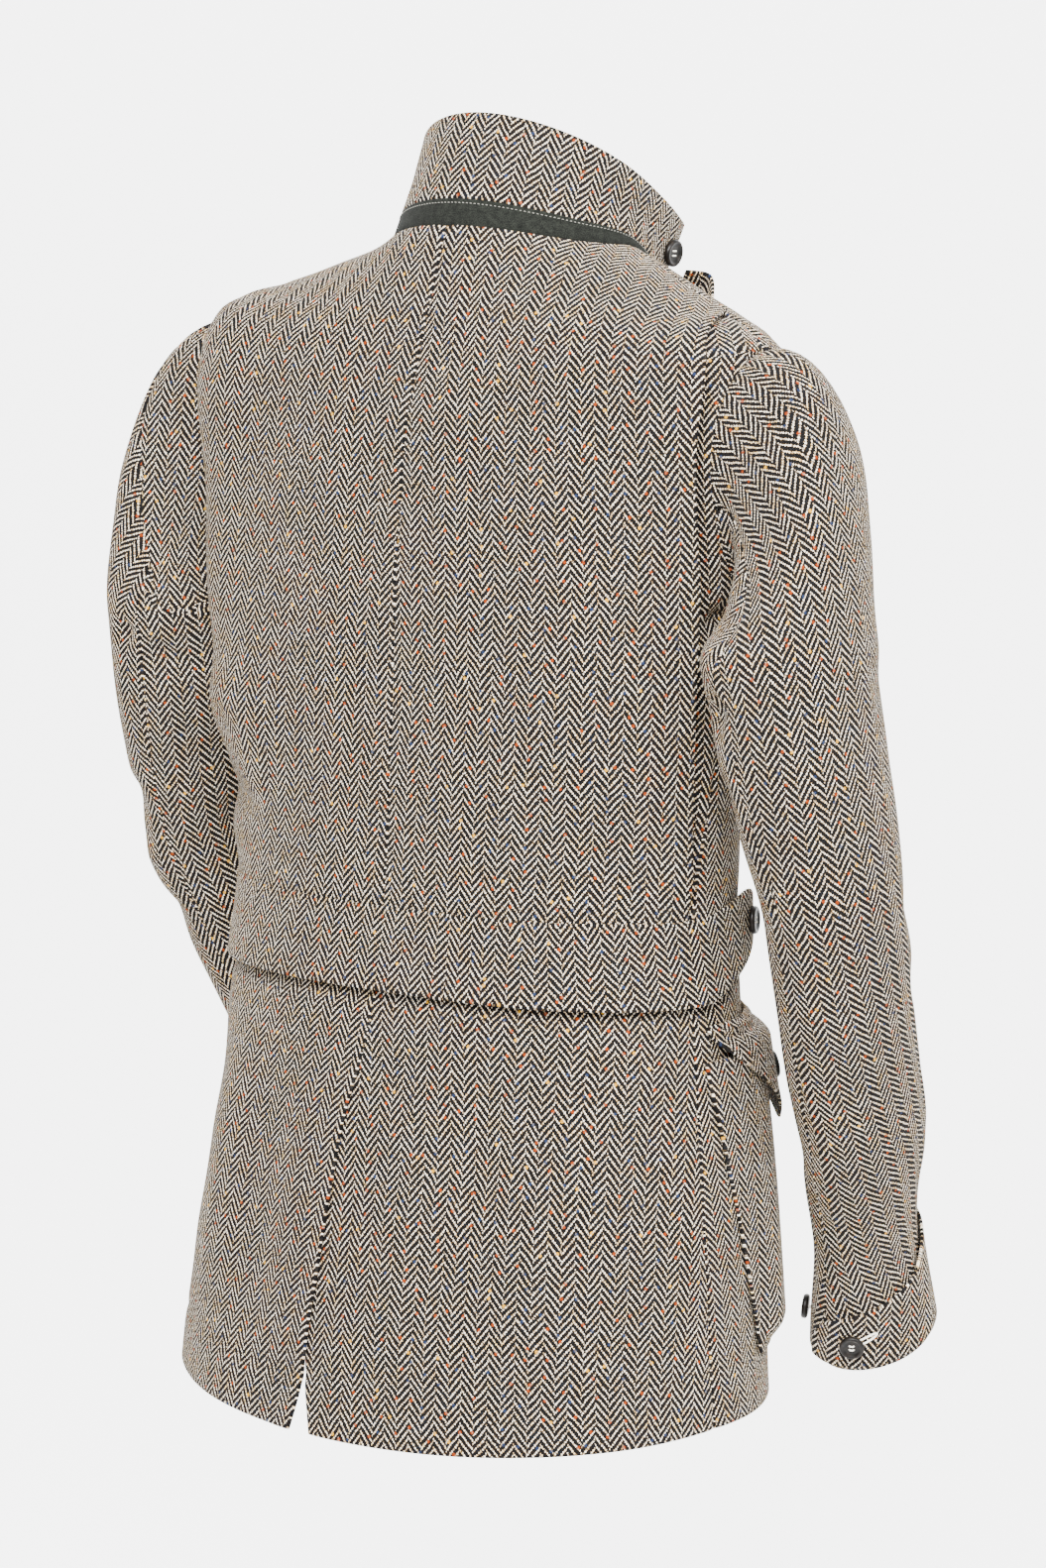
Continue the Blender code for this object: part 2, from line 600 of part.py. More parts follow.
def add_buttons(horn):
    add("button_collar", stand_button(surface_point(collar, *COLLAR_BUTTON, 1.0, 0.02), BUTTON), horn)
    add_both("button_belt", stand_button(surface_point(belt_place, BELT_BUTTON_TURN, 0.5, 1.0, 0.1), BUTTON), horn)
    drop = 1 - FLAP_BUTTON_DROP / FLAP_MIDDLE
    flap_up = lambda share, rise: flap_place(share, 1 - rise)
    add_both("button_flap", stand_button(surface_point(flap_up, 0.5, drop, 0.01, 0.01), BUTTON), horn)
    for number, (around, reach, on_tab) in enumerate(CUFF_BUTTONS, 1):
        base = STRAP_LAY if on_tab else 0.0
        solid = stand_button(lambda out: on_sleeve(around, reach, base + out), CUFF_BUTTON)
        add_both("button_cuff", solid, horn, f"_{number}")
    for number, level in enumerate(FRONT_BUTTONS, 1):
        solid = stand_button(lambda out: on_body(180.0, level, front_out(180.0, level) + out), BUTTON)
        add(f"button_front_{number}", solid, horn)


def plain_material(name, colour, roughness):
    material = bpy.data.materials.new(name)
    material.use_nodes = True
    shader = material.node_tree.nodes["Principled BSDF"]
    shader.inputs["Base Color"].default_value = (*colour, 1.0)
    shader.inputs["Roughness"].default_value = roughness
    return material


def main():
    for old in list(bpy.data.objects):
        bpy.data.objects.remove(old, do_unlink=True)
    tweed = plain_material("tweed", (0.36, 0.32, 0.27), 0.9)
    felt = plain_material("felt", (0.045, 0.048, 0.042), 0.95)
    horn = plain_material("horn", (0.02, 0.017, 0.015), 0.35)
    add_both("back", back_panel(), tweed)
    add_both("side", side_panel(), tweed)
    add("skirt_left", skirt_panel(lambda at: vent_turn(at, 0.5)), tweed)
    add("skirt_right", skirt_panel(lambda at: -vent_turn(at, -0.5)), tweed, mirrored=True)
    add("front_left", front_panel(1), tweed)
    add("front_right", front_panel(0), tweed, mirrored=True)
    add("lapel_left", lapel_sheet(1), tweed)
    add("lapel_right", lapel_sheet(0), tweed, mirrored=True)
    add("belt_back", belt_strip(), tweed)
    add("collar_stand", collar_strip(0.0, STAND_SHARE - STAND_GAP, 2), felt)
    add("collar_leaf", collar_strip(STAND_SHARE + STAND_GAP, 1.0, 4), tweed)
    add_both("sleeve_top", sleeve_panel(FORE_SEAM - 360, HIND_SEAM), tweed)
    add_both("sleeve_under", sleeve_panel(HIND_SEAM, FORE_SEAM), tweed)
    add_both("cuff_tab", tab_sheet(), tweed)
    add_both("pocket_bag", bag_sheet(), tweed)
    add_both("pocket_flap", flap_sheet(), tweed)
    add_buttons(horn)


if __name__ == "__main__":
    main()
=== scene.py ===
"""Looks of a herringbone field jacket worn on an empty form, its collar turned up.

Each cloth piece is a thin wall with round edges on the form of its solid, with its creases placed one by
one.
Metres, +Z up. The origin is on the neck's axis at the height of the centre-back neck seam, the wearer faces
-Y and the wearer's left is +X. A turn is an angle round the body in degrees from the centre back towards the
wearer's left, and a level is the height of a ring at the centre back.
"""

import functools
import math

import bmesh
import bpy
import numpy as np
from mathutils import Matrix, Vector
from mathutils.geometry import delaunay_2d_cdt


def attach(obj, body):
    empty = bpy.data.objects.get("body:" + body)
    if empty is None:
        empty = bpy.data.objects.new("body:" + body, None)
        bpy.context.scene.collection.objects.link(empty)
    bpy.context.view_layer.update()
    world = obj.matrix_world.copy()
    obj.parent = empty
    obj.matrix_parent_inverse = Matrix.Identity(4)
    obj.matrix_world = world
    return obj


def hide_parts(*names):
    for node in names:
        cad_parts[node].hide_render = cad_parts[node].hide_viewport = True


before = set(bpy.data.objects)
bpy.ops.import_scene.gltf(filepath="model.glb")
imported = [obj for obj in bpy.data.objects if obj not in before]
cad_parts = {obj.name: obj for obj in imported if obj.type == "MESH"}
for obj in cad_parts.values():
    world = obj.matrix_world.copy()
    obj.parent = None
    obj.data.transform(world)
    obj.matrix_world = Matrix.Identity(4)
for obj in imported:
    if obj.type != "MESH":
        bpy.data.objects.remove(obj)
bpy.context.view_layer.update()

# Cloth
CLOTH = 0.002  # thickness of a cloth wall
EDGE = CLOTH / 2  # radius of its edges
SEAM = 0.0004  # gap between pieces at a seam
LAY = CLOTH + SEAM  # how far out a piece lies on another
STRAP_LAY = LAY + 0.0008  # and one that lies over a seam
STEP = 0.0034  # size of a cloth face
RIM_PARTS = 4  # faces round an edge
FLAT_STEPS = ((0.018, 600), (0.006, 300))  # steps of the grids that are laid flat, and rounds for each
FLAT_SLOW = 7.0  # keeps the laying flat steady
LEVEL = np.array([1.0, 1.0, 0.0])  # leaves the level part of a vector
BACKWARD = np.array([0.0, 1.0, 0.0])
ALL, BUT_LAST, BUT_FIRST = slice(None), slice(None, -1), slice(1, None)
FLAT_LINKS = (  # neighbours along, up and across the faces of a grid
    ((ALL, BUT_LAST), (ALL, BUT_FIRST)),
    ((BUT_LAST, ALL), (BUT_FIRST, ALL)),
    ((BUT_LAST, BUT_LAST), (BUT_FIRST, BUT_FIRST)),
    ((BUT_LAST, BUT_FIRST), (BUT_FIRST, BUT_LAST)),
)
SEAM_DIP = 0.0009  # how far the cloth sinks at a seam
SEAM_DIP_WIDTH = 0.0040
SEAM_PULL = EDGE - 0.0002  # from a seam to the start of a piece's round edge

# Lengths across and up the pieces, which give them their faces
BACK_ACROSS = 0.25
SIDE_ACROSS = 0.07
SKIRT_ACROSS = 0.29
FRONT_ACROSS = 0.28
LAPEL_ACROSS = 0.07
LAPEL_UP = 0.4  # more than it is, for its tip
BELT_ACROSS = 0.66
BELT_UP = 0.048
BAG_ACROSS = 0.20
BAG_UP = 0.19
FLAP_ACROSS = 0.20
FLAP_UP = 0.20
COLLAR_ACROSS = 0.44
COLLAR_UP = 0.08
TAB_ACROSS = 0.17
TAB_UP = 0.04

# Small steps that find the slope of a surface
PROBE_TURN = 0.2  # degrees round the body
PROBE_LEVEL = 0.0005
PROBE_SEAM = 1.0  # degrees round the armhole
PROBE_REACH = 0.02  # share of the sleeve
PROBE_AROUND = 0.5  # degrees round the sleeve, for what lies on it
PROBE_ON_SLEEVE = 0.004  # and share of it
PROBE_OUT = 0.001
COLLAR_PROBE = (1.0, 0.02)  # degrees and share
BELT_PROBE = (1.0, 0.1)
FLAP_PROBE = (0.01, 0.01)  # shares

# Levels, down from the neck seam at 0
HEM = -0.717
VENT_TOP = -0.482
FLAP_TOP = -0.468
BELT_FOOT = -0.453
WAIST_SEAM = -0.430
BELT_TOP = -0.405
UNDERARM = -0.224
LAPEL_BREAK = -0.215
SHOULDER = -0.085
PLEAT_TOP = -0.052

# Body surface, one row per ring from the hem to the neck seam
BODY_COLUMNS = ("level", "side_rise", "front_rise", "half_width", "middle", "back", "front", "square")
BODY_RINGS = (
    (HEM, 0.007, 0.003, 0.196, 0.048, 0.206, 0.104, 2.2),
    (-0.580, 0.002, 0.000, 0.187, 0.046, 0.176, 0.090, 2.2),
    (BELT_FOOT, -0.003, -0.004, 0.176, 0.041, 0.148, 0.072, 2.2),
    (-0.380, 0.000, 0.000, 0.175, 0.042, 0.137, 0.070, 2.2),
    (-0.300, 0.000, 0.000, 0.176, 0.042, 0.132, 0.080, 2.3),
    (UNDERARM, 0.000, 0.000, 0.180, 0.040, 0.128, 0.090, 2.4),
    (-0.140, 0.013, -0.005, 0.190, 0.035, 0.120, 0.096, 2.5),
    (SHOULDER, 0.024, -0.033, 0.205, 0.028, 0.108, 0.094, 2.5),
    (-0.070, 0.013, -0.045, 0.192, 0.023, 0.102, 0.092, 2.4),
    (-0.045, 0.005, -0.062, 0.152, 0.012, 0.093, 0.090, 2.3),
    (-0.020, -0.004, -0.078, 0.112, 0.004, 0.084, 0.086, 2.1),
    (0.000, -0.011, -0.090, 0.080, 0.000, 0.077, 0.080, 2.0),
)
FRONT_SQUARE = 2.0
BACK_FALL = 2.0  # how the rings fall from the side to the centre back, and to the centre front
FRONT_FALL = 1.5
RING_BLEND = 0.034  # height over which neighbouring rings are rounded into each other
RING_WEIGHTS = ((-1.0, 1), (-0.5, 2), (0.0, 3), (0.5, 2), (1.0, 1))  # (share of that height, weight)
RING_TOTAL = sum(weight for _, weight in RING_WEIGHTS)

# Seam lines on the body, as (level, turn)
SIDE_SEAM = ((HEM, 84), (BELT_FOOT, 83), (-0.41, 83), (-0.36, 86), (-0.30, 91), (-0.25, 97), (UNDERARM, 103))
PLEAT_EDGE = ((WAIST_SEAM, 82), (UNDERARM, 81), (-0.12, 77), (SHOULDER, 77.5), (-0.072, 79),
              (-0.060, 83), (PLEAT_TOP, 89))
SHOULDER_TURN = 90
ARMHOLE_FOOT_TURN = 103
ARMHOLE_CENTRE = (UNDERARM + SHOULDER) / 2  # level
ARMHOLE_HALF = (SHOULDER - UNDERARM) / 2
ARMHOLE_BACK = 15  # degrees from the armhole's middle to its back edge
ARMHOLE_FRONT = 25
FRONT_LAP = 6  # degrees that a front passes the centre
GORGE_TURN = 137  # where a front edge meets the neck seam
EDGE_BEND = 0.8  # below 1 the front edge leaves the centre more quickly above the break
LAP_RAISE = 1.4 * LAY  # how far the left front lies over the right one
LAP_RAISE_TURN = 160  # where it starts to rise
LAP_RAISE_SPREAD = 12  # degrees over which it rises
LAP_RAISE_FADE = 0.09  # height over which it sinks again above the break

# Pleats
PLEAT_UNDERLAP = 8  # degrees of the side piece under the fold
PLEAT_LIFT = 0.0065  # the fold's height over the side piece
PLEAT_RISE = 16  # degrees over which the fold lifts
PLEAT_CLEAR = 0.0026
PLEAT_HOLLOW = 0.009  # how far the side piece sinks where the pleat opens
PLEAT_HOLLOW_LEVEL = -0.20
PLEAT_HOLLOW_SPREAD = 0.07
PLEAT_VALLEY = 0.0075  # how far it sinks beside the fold all along
PLEAT_VALLEY_PLACE = 1.2  # degrees from the fold to the valley's middle
PLEAT_VALLEY_TURN = 2.6  # degrees to its edges
PLEAT_VALLEY_END = 2.0  # degrees over which it ends at the armhole and the side seam
PLEAT_FADE = 0.06  # length over which the fold closes at the shoulder
PLEAT_CLOSE = 0.03  # and above the belt
PLEAT_TOP_SHARE = 0.4  # how much of it is left at its top
PLEAT_LEAST = 1.0  # degrees, the least width of the side piece that a share of it is taken of
SIDE_FOLD_START = 3  # degrees past the fold over which the side piece's own folds start

# Vent edges, as (level, turn)
VENT_LEFT = ((HEM, 7.7), (-0.68, 5.9), (-0.60, 5.7), (-0.54, 4.9), (-0.50, 2.5), (VENT_TOP, 1.2),
             (BELT_FOOT, 0.0))
VENT_RIGHT = ((HEM, 2.3), (-0.688, 5.7), (-0.62, 9.0), (-0.53, 10.0), (VENT_TOP, 1.2), (BELT_FOOT, 0.0))
VENT_LIFT = 0.0016  # how far the left skirt's edge stands off
VENT_SINK = 0.0014  # and the right one's sinks
VENT_LIFT_TURN = 9  # degrees over which they do
VENT_LIFT_LENGTH = 0.03  # and the length from the vent's top

# Hem stitching, which sinks a little
HEM_HEIGHT = 0.034
HEM_DIP = 0.0009
HEM_DIP_WIDTH = 0.004

# Belt
BELT_RISE = 0.0009  # how far its top lies out
BELT_TILT = 0.0040  # how much further its foot stands off
BELT_SINK = 0.0030  # how far the cloth under it sinks
BELT_SINK_TOP = 0.0040  # length over which it sinks at the belt's top
BELT_SINK_FOOT = 0.0100  # and at its foot
BELT_SINK_PAST = 0.3  # share of that by which it stays sunk past the foot
BELT_ROUND = 9.0  # degrees over which its ends are rounded
BELT_ROUND_SHARE = 0.95
BELT_END = 108  # degrees
BELT_TAPER = 24  # degrees over which an end narrows and stands off
BELT_STAND = 0.006
BELT_END_TOP = -0.392
BELT_END_FOOT = -0.430
BELT_BUTTON_TURN = 103

# Levels that panels have rows at
ROW_MARKS = (BELT_FOOT, BELT_TOP - BELT_SINK_TOP, BELT_TOP, UNDERARM, SHOULDER)

# Collar, one row per ring from the neck seam to its top edge
COLLAR_COLUMNS = ("share", "back_z", "side_z", "front_z", "half_width", "middle", "back", "front")
COLLAR_RINGS = (
    (0.00, 0.0003, -0.0107, -0.0897, 0.0800, 0.000, 0.077, 0.080),
    (0.22, 0.0165, -0.0030, -0.0760, 0.0780, -0.005, 0.072, 0.090),
    (0.60, 0.0420, 0.0110, -0.0420, 0.0750, -0.013, 0.062, 0.108),
    (1.00, 0.0670, 0.0280, -0.0110, 0.0750, -0.020, 0.050, 0.132),
)
COLLAR_END = 138  # degrees round the neck to the collar's front ends
STAND_SHARE = 0.22
STAND_TUCK = np.array([0.0, 0.0, -0.003])  # how the band goes down inside the neck seam
STAND_TUCK_IN = 0.0018
STAND_GAP = 0.012  # half the gap at the leaf's seam, as a share
COLLAR_BUTTON = (-127.5, 0.62)  # turn and share
STAND_STITCH = 0.180  # share at which the band's stitches run
COLLAR_BLEND = 22  # degrees over which the slopes of its back and front are rounded into each other
COLLAR_BUTTON_LEAN = np.array([0.0, 0.28, 0.10])  # how the button leans on its thread
COLLAR_SHANK = 0.0020

# Lapels
LAPEL_FOOT = LAPEL_BREAK + 0.016
LAPEL_INSET = 1  # degrees from the front edge to the roll
LAPEL_WIDTHS = ((0.0, 4), (0.65, 20), (1.0, 10))  # (share of its length, degrees)
LAPEL_TOP = -0.006
LAPEL_ROLL = 0.5  # share of its width over which it leaves the front
LAPEL_SPRING = 0.008
# Heights off the front, as (share of its length, height)
LAPEL_STANDS = ((0.0, 0.0), (0.65, 0.010), (0.88, 0.0115), (0.95, 0.030), (1.0, 0.0235))

# Sleeve, one row per station from the upper arm to the cuff
SLEEVE_COLUMNS = ("reach", "x", "y", "z", "half_side", "half_front")
SLEEVE_STATIONS = (
    (0.00, 0.2300, 0.050, -0.240, 0.0460, 0.063),
    (0.16, 0.2350, 0.041, -0.305, 0.0445, 0.059),
    (0.35, 0.2420, 0.018, -0.390, 0.038, 0.052),
    (0.52, 0.2340, -0.009, -0.458, 0.036, 0.049),
    (0.72, 0.2200, -0.050, -0.547, 0.0335, 0.045),
    (0.88, 0.2040, -0.083, -0.618, 0.029, 0.039),
    (1.00, 0.1920, -0.111, -0.690, 0.036, 0.045),
)
HIND_SEAM = 100  # degrees round the sleeve from its outer side towards the back
FORE_SEAM = 260
SLEEVE_PULL = 0.8  # degrees left free at each sleeve seam
SLEEVE_LENGTH = 0.47  # from the upper arm to the cuff
HEAD_LENGTH = 0.15
HEAD_FULL = 0.78  # how full the sleeve head is
HEAD_TOP_FULL = 0.2  # what its top adds, and its upper back
HEAD_BACK_FULL = 0.15
ARMHOLE_GAP = 0.0004
ARMHOLE_TUCK = 0.0014  # how far the body's cloth goes on under a sleeve's edge
HEAD_LEAVE = 0.25  # how much the cloth leaves its seam sideways, against HEAD_STAND straight out
HEAD_LEAVE_TOP = -0.18
HEAD_LEAVE_FRONT = 0.45
HEAD_LEAVE_BACK = 0.5  # at the back of the right sleeve
HEAD_STAND = 0.8

# The left sleeve is set in further out: its armhole seam, as (degrees round the sleeve, share of its head)
SEAM_SHIFT = ((0, 0.0), (20, 0.06), (30, 0.28), (45, 0.39), (60, 0.44), (75, 0.53), (90, 0.63), (105, 0.73),
              (120, 0.93), (135, 0.93), (150, 0.80), (165, 0.45), (180, 0.0))
SEAM_SHARE_PULL = SEAM_PULL / HEAD_LENGTH
WING_COLUMNS = 30  # faces from the body to that seam
WING_SLIVER = 0.00003  # their width where the seam isn't moved
WING_SOFT = 7  # faces over which the cloth bends from the body to the sleeve head
WING_ROUNDS = 80
WING_ACROSS = np.array([1.05, 0.35, 0.0])  # how the grain grows along that seam, out and back
FOLD_ACROSS = np.array([0.7, -0.7, 0.0])  # and along the pleat's fold above WING_TOP, out and forward
WING_TOP = -0.088
WING_TURN = 0.2  # height below the armhole over which its grain turns to the body's

# Cuff tabs, as (degrees round the sleeve, reach of the upper edge)
TAB_EDGE = ((-75, 0.885), (-37, 0.900), (0, 0.925), (67, 0.942), (98, 0.955), (108, 0.966), (113, 0.980))
TAB_FOOT = 0.994
CUFF_BUTTONS = ((67, 0.970, True), (150, 0.972, False))  # degrees, reach, on the tab

# Pockets
BAG_TOP = -0.490
BAG_FOOT = -0.682
BAG_BACK = ((BAG_FOOT, 100), (BAG_TOP, 85))
BAG_FRONT = 146
BAG_DEPTH = 0.010
BAG_EDGE = 0.09  # share over which its bellows rise
BAG_EDGE_TOP = 0.34  # what that has grown by at its top
FLAP_BACK = 86
FLAP_FRONT = 148
FLAP_SIDE = 0.005
FLAP_MIDDLE = 0.080
FLAP_OUT = 0.0136
FLAP_RISE = 0.020  # drop over which it clears the bag
FLAP_BULGE = 0.42  # share over which it does from its sides
FLAP_FLARE = 0.06
FLAP_BUTTON_DROP = 0.046
FLAP_RIDGES = ((0.0036, 0.0018), (0.0092, -0.0013))  # (drop, height) of a ridge and a seam along its top
FLAP_RIDGE_WIDTH = 0.0019
FLAP_RIDGE_END = 0.06  # share over which they end

# Lean, which lifts the wearer's left shoulder and lowers the right one
LEAN = 0.006
LEAN_NEAR = 0.06  # sideways places between which it grows
LEAN_FAR = 0.16
LEAN_LOW = -0.34  # heights between which it grows
LEAN_HIGH = -0.10

# Buttons
BUTTON = 0.0085  # radius
CUFF_BUTTON = 0.0078
BUTTON_THICK = 0.0038
BUTTON_CLEAR = 0.0003
BUTTON_SIDES = 40
BUTTON_PROFILE = ((0.0, 0.0), (0.78, 0.0), (0.93, 0.10), (1.0, 0.35), (1.0, 0.62), (0.96, 0.88), (0.89, 1.0),
                  (0.80, 1.0), (0.72, 0.90), (0.64, 0.74), (0.52, 0.68))
HOLE = 0.10  # radius of a button's holes, as a share of its own
HOLE_PLACE = 0.17  # how far they are from its middle, each way
HOLE_CENTRES = tuple(np.array(spot) * HOLE_PLACE for spot in ((1, 1), (-1, 1), (-1, -1), (1, -1)))
HOLE_SIDES = 10
HOLE_FOOT = 0.1
BUTTON_CREASE = math.radians(40)
WELD = 0.0001  # distance within which the button's points are one

# Bar of thread from one hole to the next, as (share of the way, height)
BAR_PATH = ((-0.02, 0.35), (0.0, 0.66), (0.25, 0.82), (0.75, 0.82), (1.0, 0.66), (1.02, 0.35))
BARS = ((0, 1), (3, 2))  # the holes that they join
SIDES = (("_left", False), ("_right", True))  # ends of names, and whether that side is mirrored

# Thread
TUBE_SIDES = 6
TUBE_REFERENCE = np.array([0.03, 0.02, 1.0])  # any direction that no thread runs along
THREAD_RADIUS = 0.00055
SHANK_RADIUS = 0.0011
CUFF_SHANK = 0.0016  # how far the second cuff button stands off on its thread
STITCH_PITCH = 0.0026
STITCH_LENGTH = 0.0012
STITCH_RISE = 0.00025
STITCH_RADIUS = 0.00022
STITCH_PLACES = np.array([0.0, 0.25, 0.75, 1.0])  # shares of a stitch's length
STITCH_HEIGHTS = np.array([[-1.0], [1.0], [1.0], [-1.0]])  # and its heights there
STITCH_MARKS = 241  # points along the band's row
STITCH_ASIDE = np.array([[-0.01], [0.0], [0.01]])  # shares beside it that give its slope
STITCH_END = 112  # degrees round the neck at which the band's stitches end
HOLE_LOOP = 36  # points round a buttonhole
BUTTONHOLE_TURN = 23  # degrees round the sleeve from its button
BUTTONHOLE_RISE = 0.010  # by which its far end is higher, as reach
BUTTONHOLE_WIDTH = 0.0026  # half its width, as reach
BUTTONHOLE_RADIUS = 0.0007
FRONT_BUTTONS = (-0.245, -0.325, -0.405, -0.485)

# Folds, as soft troughs (depth below 0) and ridges in degrees round and metres up
FOLD_TAPER = 0.4  # share of a fold's length over which it fades
FOLD_LEAN = 1.8  # how much wider its far slope is
BODY_DEGREE = 0.0031  # metres to a degree round the body, and round a sleeve
SLEEVE_DEGREE = 0.0009
FOLD_COLUMNS = ("turn", "level", "to_turn", "to_level", "bow", "width", "depth")
BACK_FOLDS_LEFT = (
    (60, -0.30, 82, -0.345, 0.004, 0.012, -0.0040),
    (50, -0.335, 80, -0.375, -0.004, 0.014, 0.0030),
    (30, -0.12, 70, -0.16, 0.006, 0.020, -0.0014),
    (22, -0.02, 70, -0.055, 0.004, 0.012, -0.0012),
)
BACK_FOLDS_RIGHT = (
    (45, -0.34, 80, -0.375, 0.004, 0.014, -0.0022),
    (52, -0.410, 51, -0.350, 0.0, 0.004, -0.0014),
    (20, -0.28, 60, -0.33, -0.006, 0.022, 0.0016),
    (30, -0.10, 74, -0.15, 0.006, 0.020, -0.0012),
    (24, -0.02, 66, -0.052, 0.004, 0.012, -0.0012),
)
SWELL_LEFT = (
    (68, -0.18, 72, -0.36, 0.0, 0.035, 0.0090),
    (66, -0.26, 74, -0.352, 0.0, 0.030, 0.0080),
    (50, -0.356, 90, -0.352, 0.0, 0.008, -0.0045),
    (76, -0.030, 78, -0.300, 0.0, 0.022, 0.0090),
)
SWELL_RIGHT = (
    (70, -0.20, 74, -0.36, 0.0, 0.030, 0.0030),
)
SIDE_FOLDS = (
    (82, -0.235, 99, -0.222, 0.003, 0.007, -0.0060),
    (80, -0.262, 98, -0.250, 0.002, 0.007, 0.0022),
    (82, -0.300, 94, -0.285, 0.002, 0.009, -0.0026),
    (81, -0.395, 86, -0.345, 0.002, 0.008, -0.0024),
)
SKIRT_FOLDS = (
    (36, -0.46, 30, -0.70, 0.006, 0.022, -0.0030),
    (52, -0.47, 55, -0.715, -0.006, 0.024, 0.0034),
    (68, -0.47, 72, -0.66, 0.004, 0.018, -0.0028),
    (18, -0.50, 14, -0.715, 0.003, 0.020, 0.0020),
)
FRONT_FOLDS = (
    (150, -0.24, 118, -0.30, 0.010, 0.016, -0.0034),
    (152, -0.33, 112, -0.36, -0.006, 0.018, -0.0026),
    (110, -0.21, 128, -0.15, 0.006, 0.014, -0.0030),
    (165, -0.50, 160, -0.70, 0.006, 0.022, -0.0026),
    (150, -0.14, 132, -0.10, 0.006, 0.018, 0.0020),
)
SLEEVE_FOLDS_LEFT = (
    (20, 0.325, 96, 0.345, 0.006, 0.010, -0.0050),
    (30, 0.300, 98, 0.305, -0.005, 0.011, 0.0030),
    (10, 0.275, 97, 0.262, -0.006, 0.012, -0.0040),
    (-60, 0.300, 10, 0.260, 0.008, 0.015, -0.0030),
    (-80, 0.235, -10, 0.205, 0.006, 0.014, -0.0030),
    (-70, 0.150, -20, 0.090, 0.005, 0.010, -0.0036),
    (60, 0.080, 98, 0.120, 0.004, 0.012, -0.0020),
    (-60, 0.430, -10, 0.400, 0.005, 0.016, -0.0026),
    (70, 0.462, 99, 0.455, 0.0, 0.007, -0.0060),
)
SLEEVE_FOLDS_RIGHT = (
    (-64, 0.180, -78, 0.050, 0.004, 0.006, -0.0075),
    (-50, 0.170, -52, 0.070, 0.003, 0.010, 0.0030),
    (30, 0.330, 96, 0.350, 0.006, 0.015, -0.0022),
    (-80, 0.305, -20, 0.270, 0.006, 0.014, -0.0028),
    (-80, 0.240, -30, 0.215, 0.006, 0.013, -0.0030),
    (40, 0.215, 97, 0.190, 0.005, 0.016, -0.0018),
    (55, 0.090, 95, 0.070, 0.004, 0.010, -0.0022),
    (-60, 0.450, -10, 0.420, 0.005, 0.016, -0.0026),
)
HEAD_FOLDS_RIGHT = (
    (55, 0.575, 125, 0.490, 0.0, 0.026, -0.0100),
)
UNDER_FOLDS = (
    (101, 0.452, 140, 0.425, 0.003, 0.008, -0.0080),
    (112, 0.400, 170, 0.350, 0.005, 0.010, -0.0050),
    (130, 0.330, 240, 0.290, 0.006, 0.012, -0.0045),
    (180, 0.250, 255, 0.240, -0.006, 0.012, -0.0050),
    (190, 0.215, 250, 0.185, 0.005, 0.011, 0.0026),
    (120, 0.150, 180, 0.110, 0.004, 0.012, -0.0030),
)
RIPPLE = 0.0005  # height of the cloth's unevenness
RIPPLE_WAVES = ((41, 17, 63), (-55, 38, 29), (23, -71, 47), (-37, -29, 88))  # waves in radians a metre

# Weave
WARP = 0.00102  # pitch of the threads that run up
WEFT = 0.00126  # and of those that run across
RIB_ENDS = 8  # warp threads in a rib
TWILL = 4  # picks in a repeat
RIB_BREAK = 1.5  # picks by which neighbouring ribs are set off
DARK_SHARE = 0.765  # of a line and the space to the next one
LINE_UNEVEN = 0.45  # how much that share varies
LINE_NOISE = 900.0  # noise scale of that
LINE_SOFT = 0.03  # share over which a line's edge is blurred
LINE_STEP = (0.35, 0.65)  # share of a thread over which a line climbs to the next one
FRINGE = 0.11  # share over which a light line takes on a warmer tint at its edges
TINT_RUN = 0.06  # how quickly a thread's tint changes along it
TINT_APART = 7.0  # sets the weft's tints apart from the warp's
STRAW_TINT = (0.52, 0.70)  # noise from and to which threads take on a tint
PEACH_TINT = (0.48, 0.34)
SLATE_TINT = (0.50, 0.68)
UMBER_TINT = (0.46, 0.34)
TICK_EDGE = (0.5, 0.0)  # roundness of the warp from and to which a dark line pales
THREAD_SHADE = 0.2  # how much painted shade darkens the hollows between threads
PATCH_SHADE = 0.2  # how much the cloth's tone varies
PATCH_NOISE = 18.0
WEAVE_BUMP = (0.0004, 0.6)  # height and strength
FLECK_CELLS = 100.0  # to a metre
FLECK_EDGE = (0.12, 0.085)  # radius of a fleck at its soft edge, as a share of its cell
FLECK_STRENGTH = 0.85
UNEVEN = ((5.0, 0.012), (70.0, 0.0022), (1300.0, 0.0010))  # noise scale and how far it moves the threads
GRAIN_SHIFTS = np.array([13, 7])  # threads by which the weave of the pieces may differ

# Felt, horn and thread, with noise as (scale, detail)
FELT_FIBRES = (1500.0, 3.0)
FELT_PATCHES = (260.0, 2.0)
FELT_FIBRE_SHARE = 0.7
FELT_TONES = (0.35, 0.68)  # noise from and to which it goes from dark to light
FELT_BUMP = (0.0005, 0.7)
HORN_STREAKS = (420.0, 4.0)
HORN_TONES = (0.4, 0.75)
HORN_ROUGHNESS = 0.26
HORN_STREAK_ROUGHNESS = 0.16  # what a streak adds
THREAD_TWIST = (2600.0, 1.0)

